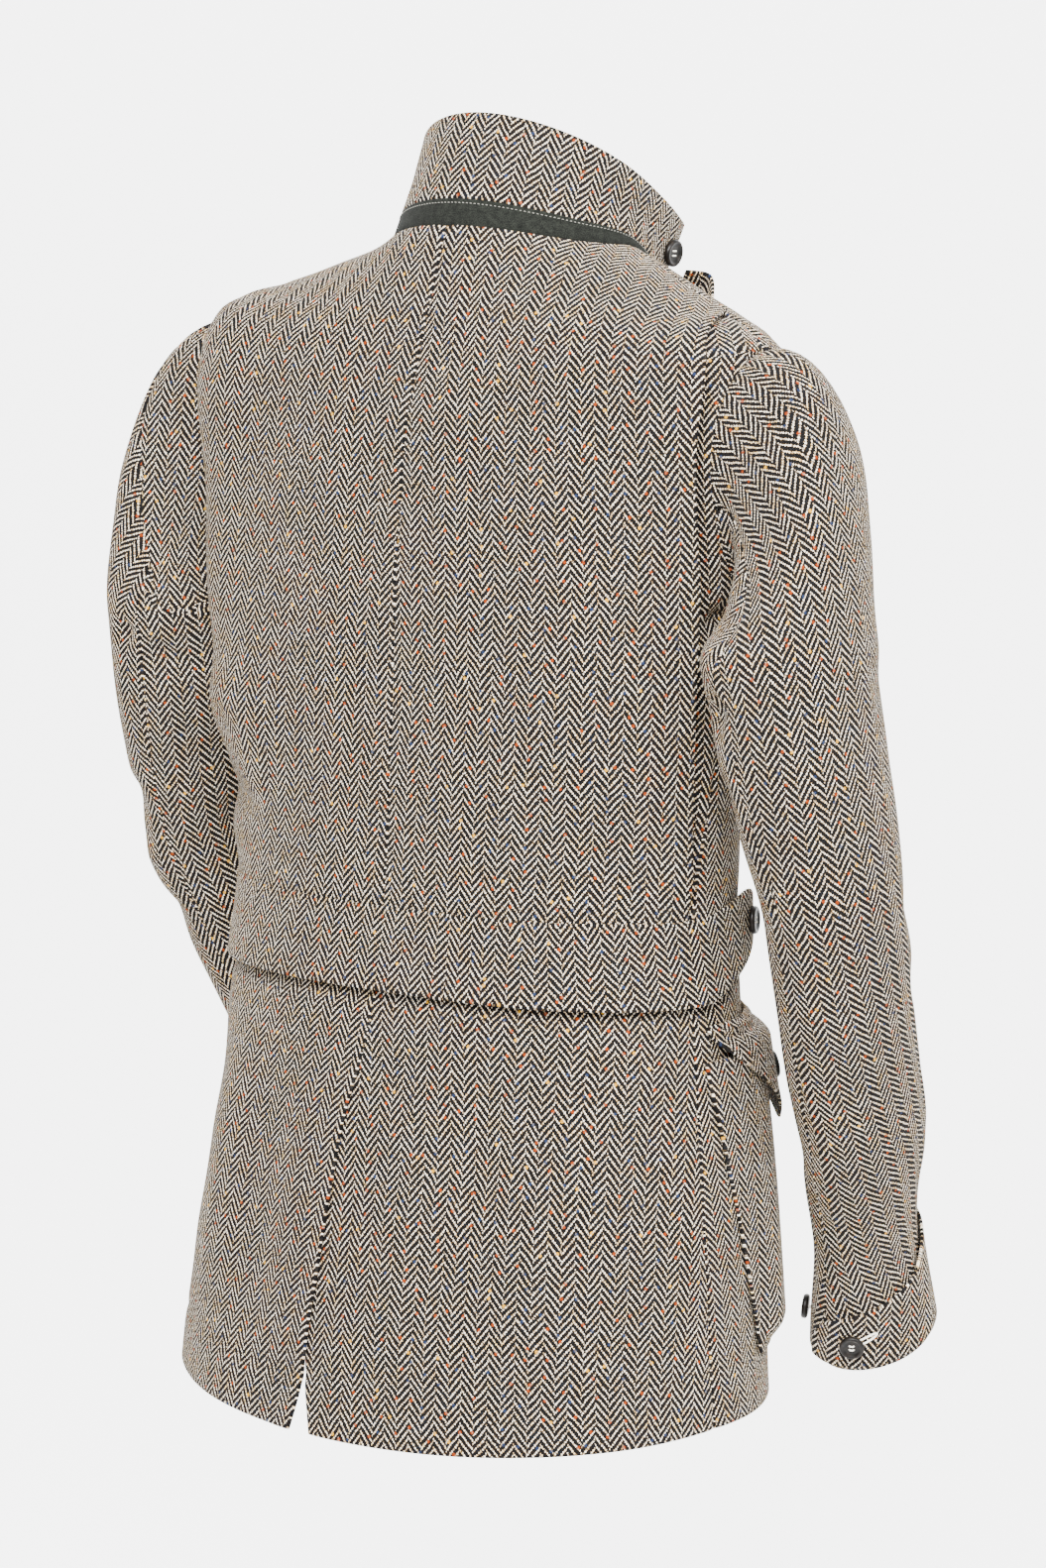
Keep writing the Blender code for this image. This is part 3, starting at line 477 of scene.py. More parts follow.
# Camera and stage
CAMERA_TURN = 217.0
CAMERA_RISE = 8.5
CAMERA_AWAY = 2.4
CAMERA_LENS = 88.0
CAMERA_SENSOR = 36.0
CAMERA_AIM = Vector((0.0, 0.0, -0.347))
FLOOR = -1.5
FLOOR_NEAR = 6.0  # how far it comes towards the camera
FLOOR_HALF = 9.0
WALL_AWAY = 1.6
WALL_BEND = 2.0
WALL_BEND_ANGLES = np.linspace(0.1, math.pi / 2, 12)
WALL_HEIGHT = 9.0
WALL_GLOW = 2.5
STAGE_ROUGHNESS = 0.9
WORLD_LIGHT = 0.9
LIGHTS = (  # name, turn, rise, distance, size and power
    ("key", CAMERA_TURN - 6, 38, 3.0, 1.6, 450.0),
    ("fill", CAMERA_TURN + 50, 35, 3.0, 2.0, 165.0),
)


def smooth(points, at):
    """Smooth curve through (place, value) points that never swings past them."""
    xs, ys = np.array(points, float).T
    at = np.clip(np.asarray(at, float), xs[0], xs[-1])
    steps = np.diff(xs)
    slopes = np.diff(ys) / steps
    bends = np.zeros_like(ys)
    same = slopes[:-1] * slopes[1:] > 0
    means = 2 * slopes[:-1] * slopes[1:] / np.where(same, slopes[:-1] + slopes[1:], 1.0)
    bends[1:-1] = np.where(same, means, 0.0)
    bends[0], bends[-1] = slopes[0], slopes[-1]
    index = np.clip(np.searchsorted(xs, at, side="right") - 1, 0, len(steps) - 1)
    step = steps[index]
    t = (at - xs[index]) / step
    bend = bends[index] * t * (1 - t) ** 2 - bends[index + 1] * t * t * (1 - t)
    return carried(ys[index], ys[index + 1], t) + step * bend


def look_up(rows, columns, at):
    """The named sizes of a table at a place in its first column."""
    table = np.array(rows)
    return {name: smooth(table[:, [0, i]], at) for i, name in enumerate(columns)}


def ease(t):
    """0 to 1 with flat ends."""
    t = np.clip(t, 0.0, 1.0)
    return t * t * (3 - 2 * t)


def between(t, width):
    """0 at both ends of the way from 0 to 1, rising to 1 over a width."""
    return ease(t / width) * ease((1 - t) / width)


def carried(start, finish, t):
    """From a start to a finish with flat ends."""
    return start * (1 + 2 * t) * (1 - t) ** 2 + finish * t * t * (3 - 2 * t)


def bell(away, width):
    """1 at no distance, falling to 0 on both sides."""
    return np.exp(-((away / width) ** 2))


def unit(vectors):
    return vectors / np.linalg.norm(vectors, axis=-1, keepdims=True)


def mesh_out(points):
    """Normals of a grid of points whose columns run along the turn and rows go up."""
    along = np.gradient(points, axis=1)
    up = np.gradient(points, axis=0)
    return unit(np.cross(up, along))


def lengths(points):
    """Lengths along the rows and up the columns of a grid."""
    along = np.cumsum(np.linalg.norm(np.diff(points, axis=1), axis=-1), axis=1)
    up = np.cumsum(np.linalg.norm(np.diff(points, axis=0), axis=-1), axis=0)
    return np.pad(along, ((0, 0), (1, 0))), np.pad(up, ((1, 0), (0, 0)))


def flattened(points, height, plumb):
    """Grain coordinates of a grid of points laid flat, turned so that a height grows straight up.

    A plumb piece, whose rows rise and fall, is laid flat from its level widths and its heights.
    """
    along, up = lengths(points)
    flat = np.stack([along, up], axis=-1)
    if plumb:
        flat = np.stack([lengths(points * LEVEL)[0], points[..., 2]], axis=-1)
    for step, rounds in FLAT_STEPS:
        columns = flat_marks(along.mean(axis=0), step)
        marks = np.ix_(flat_marks(up.mean(axis=1), step), columns)
        flat = filled_in(relaxed(points[marks], flat[marks], rounds), up[marks], up[:, columns])
        flat = filled_in(flat.swapaxes(0, 1), along.T[columns], along.T).swapaxes(0, 1)
    table = np.column_stack([flat.reshape(-1, 2), np.ones(height.size)])
    up_slope = unit(np.linalg.lstsq(table, height.ravel(), rcond=None)[0][:2])
    return np.stack([flat @ np.array([up_slope[1], -up_slope[0]]), flat @ up_slope], axis=-1)


def flat_marks(places, step):
    """Indices of rows or columns about a step apart."""
    wanted = np.linspace(places[0], places[-1], 2 + math.ceil((places[-1] - places[0]) / step))
    return np.unique(np.abs(places[:, None] - wanted).argmin(axis=0))


def relaxed(points, flat, rounds):
    """A coarse grid laid flat so that its links keep their lengths as well as they can."""
    links = []
    for near, far in FLAT_LINKS:
        links.append((near, far, np.linalg.norm(points[far] - points[near], axis=-1, keepdims=True)))
    for _ in range(rounds):
        move = np.zeros_like(flat)
        for near, far, true in links:
            step = flat[far] - flat[near]
            push = step * (1 - true / np.linalg.norm(step, axis=-1, keepdims=True)) / FLAT_SLOW
            move[near] += push
            move[far] -= push
        flat = flat + move
    return flat


def filled_in(values, marks, places):
    """Columns of a coarse table of pairs filled in smoothly, each from its own marks to its own places."""
    filled = []
    for pairs, mark, place in zip(values.swapaxes(0, 1), marks.T, places.T):
        curves = [smooth(np.stack([mark, value], axis=-1), place) for value in pairs.T]
        filled.append(np.stack(curves, axis=-1))
    return np.stack(filled, axis=1)


def steps_for(length):
    """Shares of a length that make steps of the cloth's face size."""
    return np.linspace(0.0, 1.0, max(3, math.ceil(length / STEP) + 1))


# Surfaces


def half_depth(size, along):
    """From the middle of a ring to its back or front."""
    return np.where(along > 0, size["back"] - size["middle"], size["front"] + size["middle"])


def ring_point(turn, level):
    """Point on the rings of the body table."""
    size = look_up(BODY_RINGS, BODY_COLUMNS, level)
    angle = np.radians(turn)
    across, along = np.sin(angle), np.cos(angle)
    behind = along > 0
    power = np.where(behind, size["square"], FRONT_SQUARE)
    depth = half_depth(size, along)
    reach = (np.abs(across) / size["half_width"]) ** power + (np.abs(along) / depth) ** power
    radius = reach ** (-1 / power)
    end_rise = np.where(behind, 0.0, size["front_rise"])
    fall = np.abs(along) ** np.where(behind, BACK_FALL, FRONT_FALL)
    height = level + size["side_rise"] + (end_rise - size["side_rise"]) * fall
    return np.stack([radius * across, size["middle"] + radius * along, height], axis=-1)


def body(turn, level):
    """Point on the body surface, the rings rounded into each other."""
    turn, level = np.broadcast_arrays(np.asarray(turn, float), np.asarray(level, float))
    reach = np.minimum(RING_BLEND, np.minimum(level - HEM, -level).clip(0.0))
    rings = ((level + reach * share, weight / RING_TOTAL) for share, weight in RING_WEIGHTS)
    return sum(ring_point(turn, at) * weight for at, weight in rings)


def body_out(turn, level):
    """Outward unit normal of the body surface."""
    round_it = body(turn + PROBE_TURN, level) - body(turn - PROBE_TURN, level)
    low = np.maximum(level - PROBE_LEVEL, HEM)
    high = np.minimum(level + PROBE_LEVEL, 0.0)
    return unit(np.cross(body(turn, high) - body(turn, low), round_it))


def on_body(turn, level, out=0.0):
    """Point moved out of the body surface."""
    turn, level, out = np.broadcast_arrays(turn, level, out)
    return body(turn, level) + body_out(turn, level) * out[..., None]


def turn_for(length, turn, level):
    """Degrees that make a length along a ring."""
    half = 1 / 2
    degree = np.linalg.norm(body(turn + half, level) - body(turn - half, level), axis=-1)
    return length / degree


def armhole_middle(level):
    return np.interp(level, (UNDERARM, SHOULDER), (ARMHOLE_FOOT_TURN, SHOULDER_TURN))


def side_edge(level, half):
    """Turn of the side seam, of the armhole edge half degrees from its middle, or of the shoulder seam."""
    reach = np.sqrt(np.clip(1 - ((level - ARMHOLE_CENTRE) / ARMHOLE_HALF) ** 2, 0.0, 1.0))
    return np.where(level < UNDERARM, smooth(SIDE_SEAM, level), armhole_middle(level) + half * reach)


def collar_height(size, turn, share):
    """Height of the turned-up collar, falling from its sides to its back and front."""
    along = np.cos(np.radians(turn))
    end_z = np.where(along > 0, size["back_z"], size["front_z"])
    fall = np.where(along > 0, BACK_FALL, FRONT_FALL)
    return size["side_z"] + (end_z - size["side_z"]) * np.abs(along) ** (fall + (1 - fall) * share)


def collar(turn, share):
    """Point on the turned-up collar, from the neck seam to its top edge."""
    turn, share = np.broadcast_arrays(np.asarray(turn, float), np.asarray(share, float))
    size = look_up(COLLAR_RINGS, COLLAR_COLUMNS, share)
    angle = np.radians(turn)
    across, along = np.sin(angle), np.cos(angle)
    radius = 1 / np.sqrt((across / size["half_width"]) ** 2 + (along / half_depth(size, along)) ** 2)
    blend = COLLAR_BLEND * ease(share / STAND_SHARE) * ease((COLLAR_END - np.abs(turn)) / COLLAR_BLEND)
    heights = [collar_height(size, turn + blend * by, share) * weight for by, weight in RING_WEIGHTS]
    height = sum(heights) / RING_TOTAL
    return np.stack([radius * across, size["middle"] + radius * along, height], axis=-1)


def armhole_place(around):
    """Turn and level of the armhole seam; around runs from the shoulder over the back to the underarm."""
    angle = np.radians(around)
    level = ARMHOLE_CENTRE + ARMHOLE_HALF * np.cos(angle)
    half = np.where(np.sin(angle) > 0, ARMHOLE_BACK, ARMHOLE_FRONT)
    return armhole_middle(level) - half * np.sin(angle), level


def sleeve_middle(reach):
    """Point on the middle line of the sleeve."""
    size = look_up(SLEEVE_STATIONS, SLEEVE_COLUMNS, reach)
    return np.stack([size[axis] for axis in "xyz"], axis=-1)


def sleeve_ring(around, reach):
    """Point on the sleeve below its head."""
    around, reach = np.broadcast_arrays(np.asarray(around, float), np.asarray(reach, float))
    size = look_up(SLEEVE_STATIONS, SLEEVE_COLUMNS, reach)
    ahead = sleeve_middle(np.minimum(reach + PROBE_REACH, 1.0))
    run = unit(ahead - sleeve_middle(np.maximum(reach - PROBE_REACH, 0.0)))
    back = unit(BACKWARD - run * run[..., 1:2])
    side = np.cross(back, -run)
    angle = np.radians(around)[..., None]
    wide = side * np.cos(angle) * size["half_side"][..., None]
    return sleeve_middle(reach) + wide + back * np.sin(angle) * size["half_front"][..., None]


def sleeve_head(around, share, leave_back=0.0):
    """Point between the armhole seam and the upper arm."""
    around, share = np.broadcast_arrays(around, share)
    turn, level = armhole_place(around)
    normal = body_out(turn, level)
    step = body(*armhole_place(around + PROBE_SEAM)) - body(*armhole_place(around - PROBE_SEAM))
    into = unit(np.cross(unit(step), normal))
    cosine = np.cos(np.radians(around))[..., None]
    sine = np.sin(np.radians(around))[..., None]
    aside = HEAD_LEAVE + HEAD_LEAVE_TOP * np.clip(cosine, 0.0, 1.0)
    aside = aside + np.where(sine < 0, -HEAD_LEAVE_FRONT, leave_back) * sine
    leave = unit(into * aside + normal * HEAD_STAND)
    start = body(turn, level) + leave * ARMHOLE_GAP
    finish = sleeve_ring(around, 0.0)
    arrive = unit(sleeve_ring(around, PROBE_REACH) - finish)
    span = np.linalg.norm(finish - start, axis=-1, keepdims=True)
    t = share[..., None]
    upper_back = np.clip(np.sin(np.radians(2 * around)), 0.0, 1.0)[..., None] * (cosine > 0)
    full = HEAD_FULL + HEAD_TOP_FULL * cosine + HEAD_BACK_FULL * upper_back
    path = carried(start, finish, t) + leave * span * full * t * (1 - t) ** 2
    return path - arrive * span * HEAD_FULL * t * t * (1 - t)


def on_sleeve(around, reach, out):
    """Point moved out of the sleeve below its head."""
    around, reach, out = np.broadcast_arrays(np.asarray(around, float), reach, out)
    round_it = sleeve_ring(around + PROBE_AROUND, reach) - sleeve_ring(around - PROBE_AROUND, reach)
    below = sleeve_ring(around, np.minimum(reach + PROBE_ON_SLEEVE, 1.0))
    up_it = sleeve_ring(around, reach - PROBE_ON_SLEEVE) - below
    return sleeve_ring(around, reach) + unit(np.cross(round_it, up_it)) * out[..., None]


# Folds and seams


def fold_out(folds, turn, level, degree):
    """How far the folds of a table move the cloth out."""
    total = np.zeros(np.broadcast(turn, level).shape)
    for row in folds:
        fold = dict(zip(FOLD_COLUMNS, row))
        run_x = (fold["to_turn"] - fold["turn"]) * degree
        run_y = fold["to_level"] - fold["level"]
        length = math.hypot(run_x, run_y)
        x, y = (turn - fold["turn"]) * degree, level - fold["level"]
        t = (x * run_x + y * run_y) / length**2
        aside = (y * run_x - x * run_y) / length - fold["bow"] * 4 * t * (1 - t)
        width = fold["width"] * np.where(aside > 0, 1.0, FOLD_LEAN)
        total += fold["depth"] * bell(aside, width) * between(t, FOLD_TAPER)
    return total


def ripple_out(points):
    """Small unevenness of the cloth."""
    return RIPPLE / 2 * sum(np.sin(points @ np.array(wave) + i) for i, wave in enumerate(RIPPLE_WAVES))


def seam_out(points, edges):
    """How far the cloth sinks at its sewn edges, named first, last, foot and top."""
    along, up = lengths(points)
    away = {"first": along, "last": along[:, -1:] - along, "foot": up, "top": up[-1:] - up}
    return -SEAM_DIP * sum(bell(away[edge], SEAM_DIP_WIDTH) for edge in edges)


def leaned(points):
    """Points of the finished form, its left shoulder higher than its right."""
    aside = ease((np.abs(points[..., 0]) - LEAN_NEAR) / (LEAN_FAR - LEAN_NEAR)) * np.sign(points[..., 0])
    lift = LEAN * aside * ease((points[..., 2] - LEAN_LOW) / (LEAN_HIGH - LEAN_LOW))
    return points + np.stack([0 * lift, 0 * lift, lift], axis=-1)


def on_form(points, mirrored):
    """Points of a piece where it is worn; mirrored swaps the wearer's left for right."""
    return leaned(points * np.array([-1.0 if mirrored else 1.0, 1.0, 1.0]))


# Meshes


def new_object(name, points, faces, material):
    mesh = bpy.data.meshes.new(name)
    mesh.from_pydata(np.asarray(points).tolist(), [], [tuple(face) for face in faces])
    mesh.materials.append(material)
    mesh.shade_smooth()
    piece = bpy.data.objects.new(name, mesh)
    bpy.context.collection.objects.link(piece)
    return piece


def rim_of(rows, columns):
    """Indices of a grid's border, once round."""
    index = np.arange(rows * columns).reshape(rows, columns)
    return np.concatenate([index[0], index[1:, -1], index[-1, -2::-1], index[-2:0:-1, 0]])


def rim_away(points):
    """Unit vectors that leave a grid at its border."""
    away = np.zeros_like(points)
    away[0] += unit(points[0] - points[1])
    away[-1] += unit(points[-1] - points[-2])
    away[:, 0] += unit(points[:, 0] - points[:, 1])
    away[:, -1] += unit(points[:, -1] - points[:, -2])
    return away


def wall(outer):
    """Points, faces and grid places of a closed wall with round edges under a grid of outer points."""
    rows, columns = outer.shape[:2]
    out = mesh_out(outer)
    middle = outer - out * EDGE
    rim = rim_of(rows, columns)
    away = unit(rim_away(outer).reshape(-1, 3)[rim])
    turned = [math.pi * part / RIM_PARTS for part in range(1, RIM_PARTS)]
    middle_rim, out_rim = middle.reshape(-1, 3)[rim], out.reshape(-1, 3)[rim]
    edges = [middle_rim + (away * math.sin(angle) + out_rim * math.cos(angle)) * EDGE for angle in turned]
    points = np.concatenate([outer.reshape(-1, 3), (outer - out * CLOTH).reshape(-1, 3)] + edges)
    index = np.arange(rows * columns).reshape(rows, columns)
    corners = [index[:-1, :-1], index[1:, :-1], index[1:, 1:], index[:-1, 1:]]
    face = np.stack(corners, axis=-1).reshape(-1, 4)
    edge_index = 2 * rows * columns + np.arange(len(edges) * len(rim)).reshape(len(edges), len(rim))
    loops = [rim, *edge_index, rim + rows * columns]
    faces = [face, face[:, ::-1] + rows * columns]
    for near, far in zip(loops[:-1], loops[1:]):
        faces.append(np.stack([near, np.roll(near, -1), np.roll(far, -1), far], axis=-1))
    places = np.concatenate([np.arange(rows * columns)] * 2 + [rim] * (RIM_PARTS - 1))
    return points, np.concatenate(faces), places


def cloth(name, outer, material, slot, mirrored=False, grain="upright", weave=None, held="stretched",
          rests_on=()):
    """Makes one cloth piece from a grid of outer points.

    Its grain is upright, plumb or along its columns. Its threads follow that, or places given as a weave.
    """
    outer = on_form(outer, mirrored)
    if mirrored:
        outer = outer[:, ::-1]
    height = lengths(outer)[1] if grain == "columns" else outer[..., 2]
    flat = flattened(outer, height, grain == "plumb")
    woven = flat if weave is None else weave
    points, faces, places = wall(outer)
    piece = new_object(name + "_cloth", points, faces, material)
    shift = np.array([sum(map(ord, name)), len(name) ** 2]) % GRAIN_SHIFTS * np.array([WARP, WEFT])
    threads = np.concatenate([woven + shift, np.zeros_like(woven[..., :1])], axis=-1).reshape(-1, 3)
    layer = piece.data.attributes.new("grain", "FLOAT_VECTOR", "POINT")
    layer.data.foreach_set("vector", threads[places].ravel())
    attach(piece, "root")
    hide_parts(name)
    return piece


# Cloth pieces


def fine_rows(low, high):
    """Levels of a panel's rows, closer at the ends of the armhole and the edges of the belt."""
    marks = [low] + [mark for mark in ROW_MARKS if low < mark < high] + [high]
    rows = []
    for start, stop in zip(marks[:-1], marks[1:]):
        share = steps_for(stop - start)[:-1]
        if start == UNDERARM:
            share = (1 - np.cos(math.pi * share)) / 2
        rows.extend(start + (stop - start) * share)
    return np.array(rows + [high])


def at_armhole(level):
    return (level > UNDERARM) & (level < SHOULDER)


def seam_pull(level, set_in):
    """How far a panel is pulled back from its seam, or goes on under the edge of a set-in sleeve."""
    return np.where(at_armhole(level) & set_in, -ARMHOLE_TUCK, SEAM_PULL)


def panel_grid(low, high, width, first_edge, last_edge, set_in=""):
    """Turns and levels of a panel between two edges, the set_in one of which takes a sleeve."""
    levels = fine_rows(low + EDGE, high - EDGE)[:, None]
    first, last = first_edge(levels), last_edge(levels)
    first = first + turn_for(seam_pull(levels, set_in == "first"), first, levels)
    last = last - turn_for(seam_pull(levels, set_in == "last"), last, levels)
    turn = first + (last - first) * steps_for(width)[None, :]
    return np.broadcast_arrays(turn, levels)


def sewn(turn, level, out, edges):
    """Points of a body panel, moved out and sunk at its seams and under the belt."""
    base = on_body(turn, level, out - belt_sink(turn, level))
    return base + body_out(turn, level) * (seam_out(base, edges) + ripple_out(base))[..., None]


def pleat_edge(level):
    return smooth(PLEAT_EDGE, level)


def pleat_open(level, left=0.0):
    """1 where the pleat is open, falling to 0 above the belt and at its top, or there to what is left."""
    return ease((level - BELT_TOP) / PLEAT_CLOSE) * ease((PLEAT_TOP - level) / PLEAT_FADE + left)


def pleat_lift(turn, level):
    """How far the back stands off towards its pleat edge."""
    lift = PLEAT_LIFT * ease((turn - pleat_edge(level)) / PLEAT_RISE + 1)
    return lift * pleat_open(level, PLEAT_TOP_SHARE)


def back_panel(folds):
    turn, level = panel_grid(WAIST_SEAM, 0.0, BACK_ACROSS, np.zeros_like, pleat_edge)
    out = pleat_lift(turn, level) + fold_out(folds, turn, level, BODY_DEGREE)
    return sewn(turn, level, out, ("first",))


def side_out(turn, level):
    """How far the side piece lies out: under the fold, then level with the armhole and the side seam."""
    fold, edge = pleat_edge(level), side_edge(level, -ARMHOLE_BACK)
    under = pleat_lift(np.minimum(turn, fold), level) - LAY - PLEAT_CLEAR
    share = np.clip((turn - fold) / np.maximum(edge - fold, PLEAT_LEAST), 0.0, 1.0)
    deep = bell(level - PLEAT_HOLLOW_LEVEL, PLEAT_HOLLOW_SPREAD)
    hidden = ease((turn - fold) / PLEAT_UNDERLAP + 1)
    valley = PLEAT_VALLEY * pleat_open(level) * bell(turn - fold - PLEAT_VALLEY_PLACE, PLEAT_VALLEY_TURN)
    valley = valley * ease((edge - turn) / PLEAT_VALLEY_END)
    return under * (1 - ease(share)) - PLEAT_HOLLOW * deep * (1 - share) * hidden - valley


def seam_share(around, shifted):
    """Share of a sleeve's head at its armhole seam."""
    return shifted * smooth(SEAM_SHIFT, np.mod(around, 360))


def wing(level, edge):
    """Columns that carry the left side piece on over the sleeve head to the armhole seam."""
    around = np.degrees(np.arccos(np.clip((level - ARMHOLE_CENTRE) / ARMHOLE_HALF, -1.0, 1.0)))[:, None]
    step = np.arange(1, WING_COLUMNS + 1)[None, :]
    share = (seam_share(around, 1) - SEAM_SHARE_PULL).clip(0.0) * step / WING_COLUMNS
    away = unit(edge[:, -1] - edge[:, -2])[:, None] * WING_SLIVER * step[..., None]
    on_head = at_armhole(level)[:, None, None]
    return np.where(on_head, sleeve_head(around, share), edge[:, -1:]) + away


def softened(points, column):
    """Points whose rows are rounded where they bend at a column."""
    weight = bell(np.arange(points.shape[1]) - column, WING_SOFT)[1:-1, None] / 2
    for _ in range(WING_ROUNDS):
        points[:, 1:-1] += weight * ((points[:, :-2] + points[:, 2:]) / 2 - points[:, 1:-1])
    return points


def wing_grain(points):
    """Places of the left side piece's threads, with its level widths across and its heights up.

    The widths start from its armhole seam, and above WING_TOP and well below the armhole from its fold.
    """
    run = lengths(points * LEVEL)[0]
    level = points[:, 0, 2]
    top = np.abs(level - WING_TOP).argmin()
    moved = points - points[top]
    from_fold = moved[:, 0] @ FOLD_ACROSS
    from_seam = run[top, -1] - run[:, -1] + moved[:, -1] @ WING_ACROSS
    set_in = ease((level - UNDERARM) / WING_TURN + 1)
    across = run + np.where(level > level[top], from_fold, from_seam * set_in)[:, None]
    up = lengths(points)[1][:, :1] + points[..., 2] - points[:, :1, 2]
    return np.stack([across, up], axis=-1)


def side_panel(swell, shifted):
    turn, level = panel_grid(
        WAIST_SEAM, PLEAT_TOP, SIDE_ACROSS, lambda at: pleat_edge(at) - PLEAT_UNDERLAP,
        lambda at: side_edge(at, -ARMHOLE_BACK), "" if shifted else "last"
    )
    shown = ease((turn - pleat_edge(level)) / SIDE_FOLD_START)
    out = side_out(turn, level) + shown * fold_out(SIDE_FOLDS, turn, level, BODY_DEGREE)
    points = sewn(turn, level, out + fold_out(swell, turn, level, BODY_DEGREE), ())
    if shifted:
        points = softened(np.concatenate([points, wing(level[:, 0], points)], axis=1), turn.shape[1] - 1)
    return points + mesh_out(points) * seam_out(points, ("last",))[..., None]


def vent_left(level):
    """Turn of the left skirt's edge."""
    return smooth(VENT_LEFT, level)


def vent_right(level):
    """Turn of the right skirt's edge, under the left one nearly down to the hem."""
    return smooth(VENT_RIGHT, level)


def skirt_panel(over):
    """Points of a skirt; at the vent the left one lies over the right one."""
    first_edge = vent_left if over else lambda at: -vent_right(at)
    turn, level = panel_grid(HEM, WAIST_SEAM, SKIRT_ACROSS, first_edge, lambda at: smooth(SIDE_SEAM, at))
    below = ease((VENT_TOP - level) / VENT_LIFT_LENGTH)
    out = VENT_LIFT * ease(1 - (turn - vent_left(level)) / VENT_LIFT_TURN) * below
    if not over:
        out = -VENT_SINK * ease((VENT_LIFT_TURN - turn - vent_left(level)) / VENT_LIFT_TURN) * below
    hem = -HEM_DIP * bell(level - HEM - HEM_HEIGHT, HEM_DIP_WIDTH)
    return sewn(turn, level, out + hem + fold_out(SKIRT_FOLDS, turn, level, BODY_DEGREE), ("last",))


def front_edge(level):
    """Turn of the front's free edge, past the centre up to the lapel's break and then back to the gorge."""
    open_up = np.clip(1 - level / LAPEL_BREAK, 0.0, 1.0)
    return 180 + FRONT_LAP - (180 + FRONT_LAP - GORGE_TURN) * open_up**EDGE_BEND


def front_out(turn, level):
    """How far the left front lies over the right one near the centre."""
    rise = ease((turn - LAP_RAISE_TURN) / LAP_RAISE_SPREAD)
    return LAP_RAISE * rise * ease((LAPEL_BREAK - level) / LAP_RAISE_FADE + 1)


def front_panel(over, swell):
    turn, level = panel_grid(
        HEM, 0.0, FRONT_ACROSS, lambda at: side_edge(at, ARMHOLE_FRONT), front_edge, "first"
    )
    out = over * front_out(turn, level) + fold_out(swell, turn, level, BODY_DEGREE)
    calm = ease((front_edge(level) - turn) / LAP_RAISE_SPREAD)
    return sewn(turn, level, out + calm * fold_out(FRONT_FOLDS, turn, level, BODY_DEGREE), ("first",))


def lapel_sheet(over):
    """Turned-back front edge from the break to a tip that stands up beside the collar."""
    share = steps_for(LAPEL_UP)[:, None]
    level = LAPEL_FOOT + (LAPEL_TOP - LAPEL_FOOT) * share
    across = 1 - steps_for(LAPEL_ACROSS)[None, :]
    turn = front_edge(level) - LAPEL_INSET - smooth(LAPEL_WIDTHS, share) * across
    lift = LAPEL_SPRING * across * share + smooth(LAPEL_STANDS, share) * ease(across / LAPEL_ROLL)
    return on_body(turn, level, over * front_out(turn, level) + LAY + lift)


def belt_end(turn):
    """How far the belt has narrowed towards its end."""
    return ease((np.abs(turn) - BELT_END) / BELT_TAPER + 1)


def belt_levels(turn):
    """Foot and top of the belt."""
    end = belt_end(turn)
    return BELT_FOOT + (BELT_END_FOOT - BELT_FOOT) * end, BELT_TOP + (BELT_END_TOP - BELT_TOP) * end


def belt_sink(turn, level):
    """How far the cloth sinks under the belt, and a little further down."""
    foot, top = belt_levels(turn)
    under = ease((top - level) / BELT_SINK_TOP) * ease((level - foot) / BELT_SINK_FOOT + 1 + BELT_SINK_PAST)
    return BELT_SINK * under * (1 - belt_end(turn))


def belt_place(turn, share):
    """Point on the belt's outer face, share going up; its ends narrow to round tabs that stand off."""
    foot, top = belt_levels(turn)
    past = np.clip((np.abs(turn) - BELT_END) / BELT_ROUND + 1, 0.0, 1.0)
    level = (foot + top) / 2 + (top - foot) * (share - 0.5) * np.sqrt(1 - BELT_ROUND_SHARE * past**2)
    end = belt_end(turn)
    out = BELT_RISE + (STRAP_LAY + BELT_STAND - BELT_RISE) * end**2 + BELT_TILT * (1 - share) * (1 - end)
    return on_body(turn, level, out)


def belt_strip():
    turn = (2 * steps_for(BELT_ACROSS) - 1)[None, :] * BELT_END
    return belt_place(turn, steps_for(BELT_UP)[:, None])


def bag_sheet():
    """Bellows pocket, open at its top."""
    rise, share = steps_for(BAG_UP)[:, None], steps_for(BAG_ACROSS)[None, :]
    level = BAG_FOOT + (BAG_TOP - BAG_FOOT) * rise
    back = smooth(BAG_BACK, level)
    edge = BAG_EDGE + BAG_EDGE_TOP * rise
    out = STRAP_LAY + BAG_DEPTH * between(share, edge) * ease(rise / BAG_EDGE)
    return on_body(back + (BAG_FRONT - back) * share, level, out)


def flap_place(share, drop_share):
    """Point on the pointed flap's outer face, from its top edge down."""
    length = FLAP_SIDE + (FLAP_MIDDLE - FLAP_SIDE) * (1 - np.abs(2 * share - 1))
    drop = length * drop_share
    bulge = between(share, FLAP_BULGE)
    out = STRAP_LAY + (LAY + (FLAP_OUT - LAY) * bulge) * ease(drop / FLAP_RISE) + FLAP_FLARE * drop
    ridges = sum(high * bell(drop - place, FLAP_RIDGE_WIDTH) for place, high in FLAP_RIDGES)
    out = out + ridges * between(share, FLAP_RIDGE_END)
    return on_body(FLAP_BACK + (FLAP_FRONT - FLAP_BACK) * share, FLAP_TOP - drop, out)


def flap_sheet():
    return flap_place(steps_for(FLAP_ACROSS)[None, :], 1 - steps_for(FLAP_UP)[:, None])


def collar_strip(first, last):
    turn = (2 * steps_for(COLLAR_ACROSS) - 1)[None, :] * COLLAR_END
    return collar(turn, first + (last - first) * steps_for(COLLAR_UP * (last - first))[:, None])


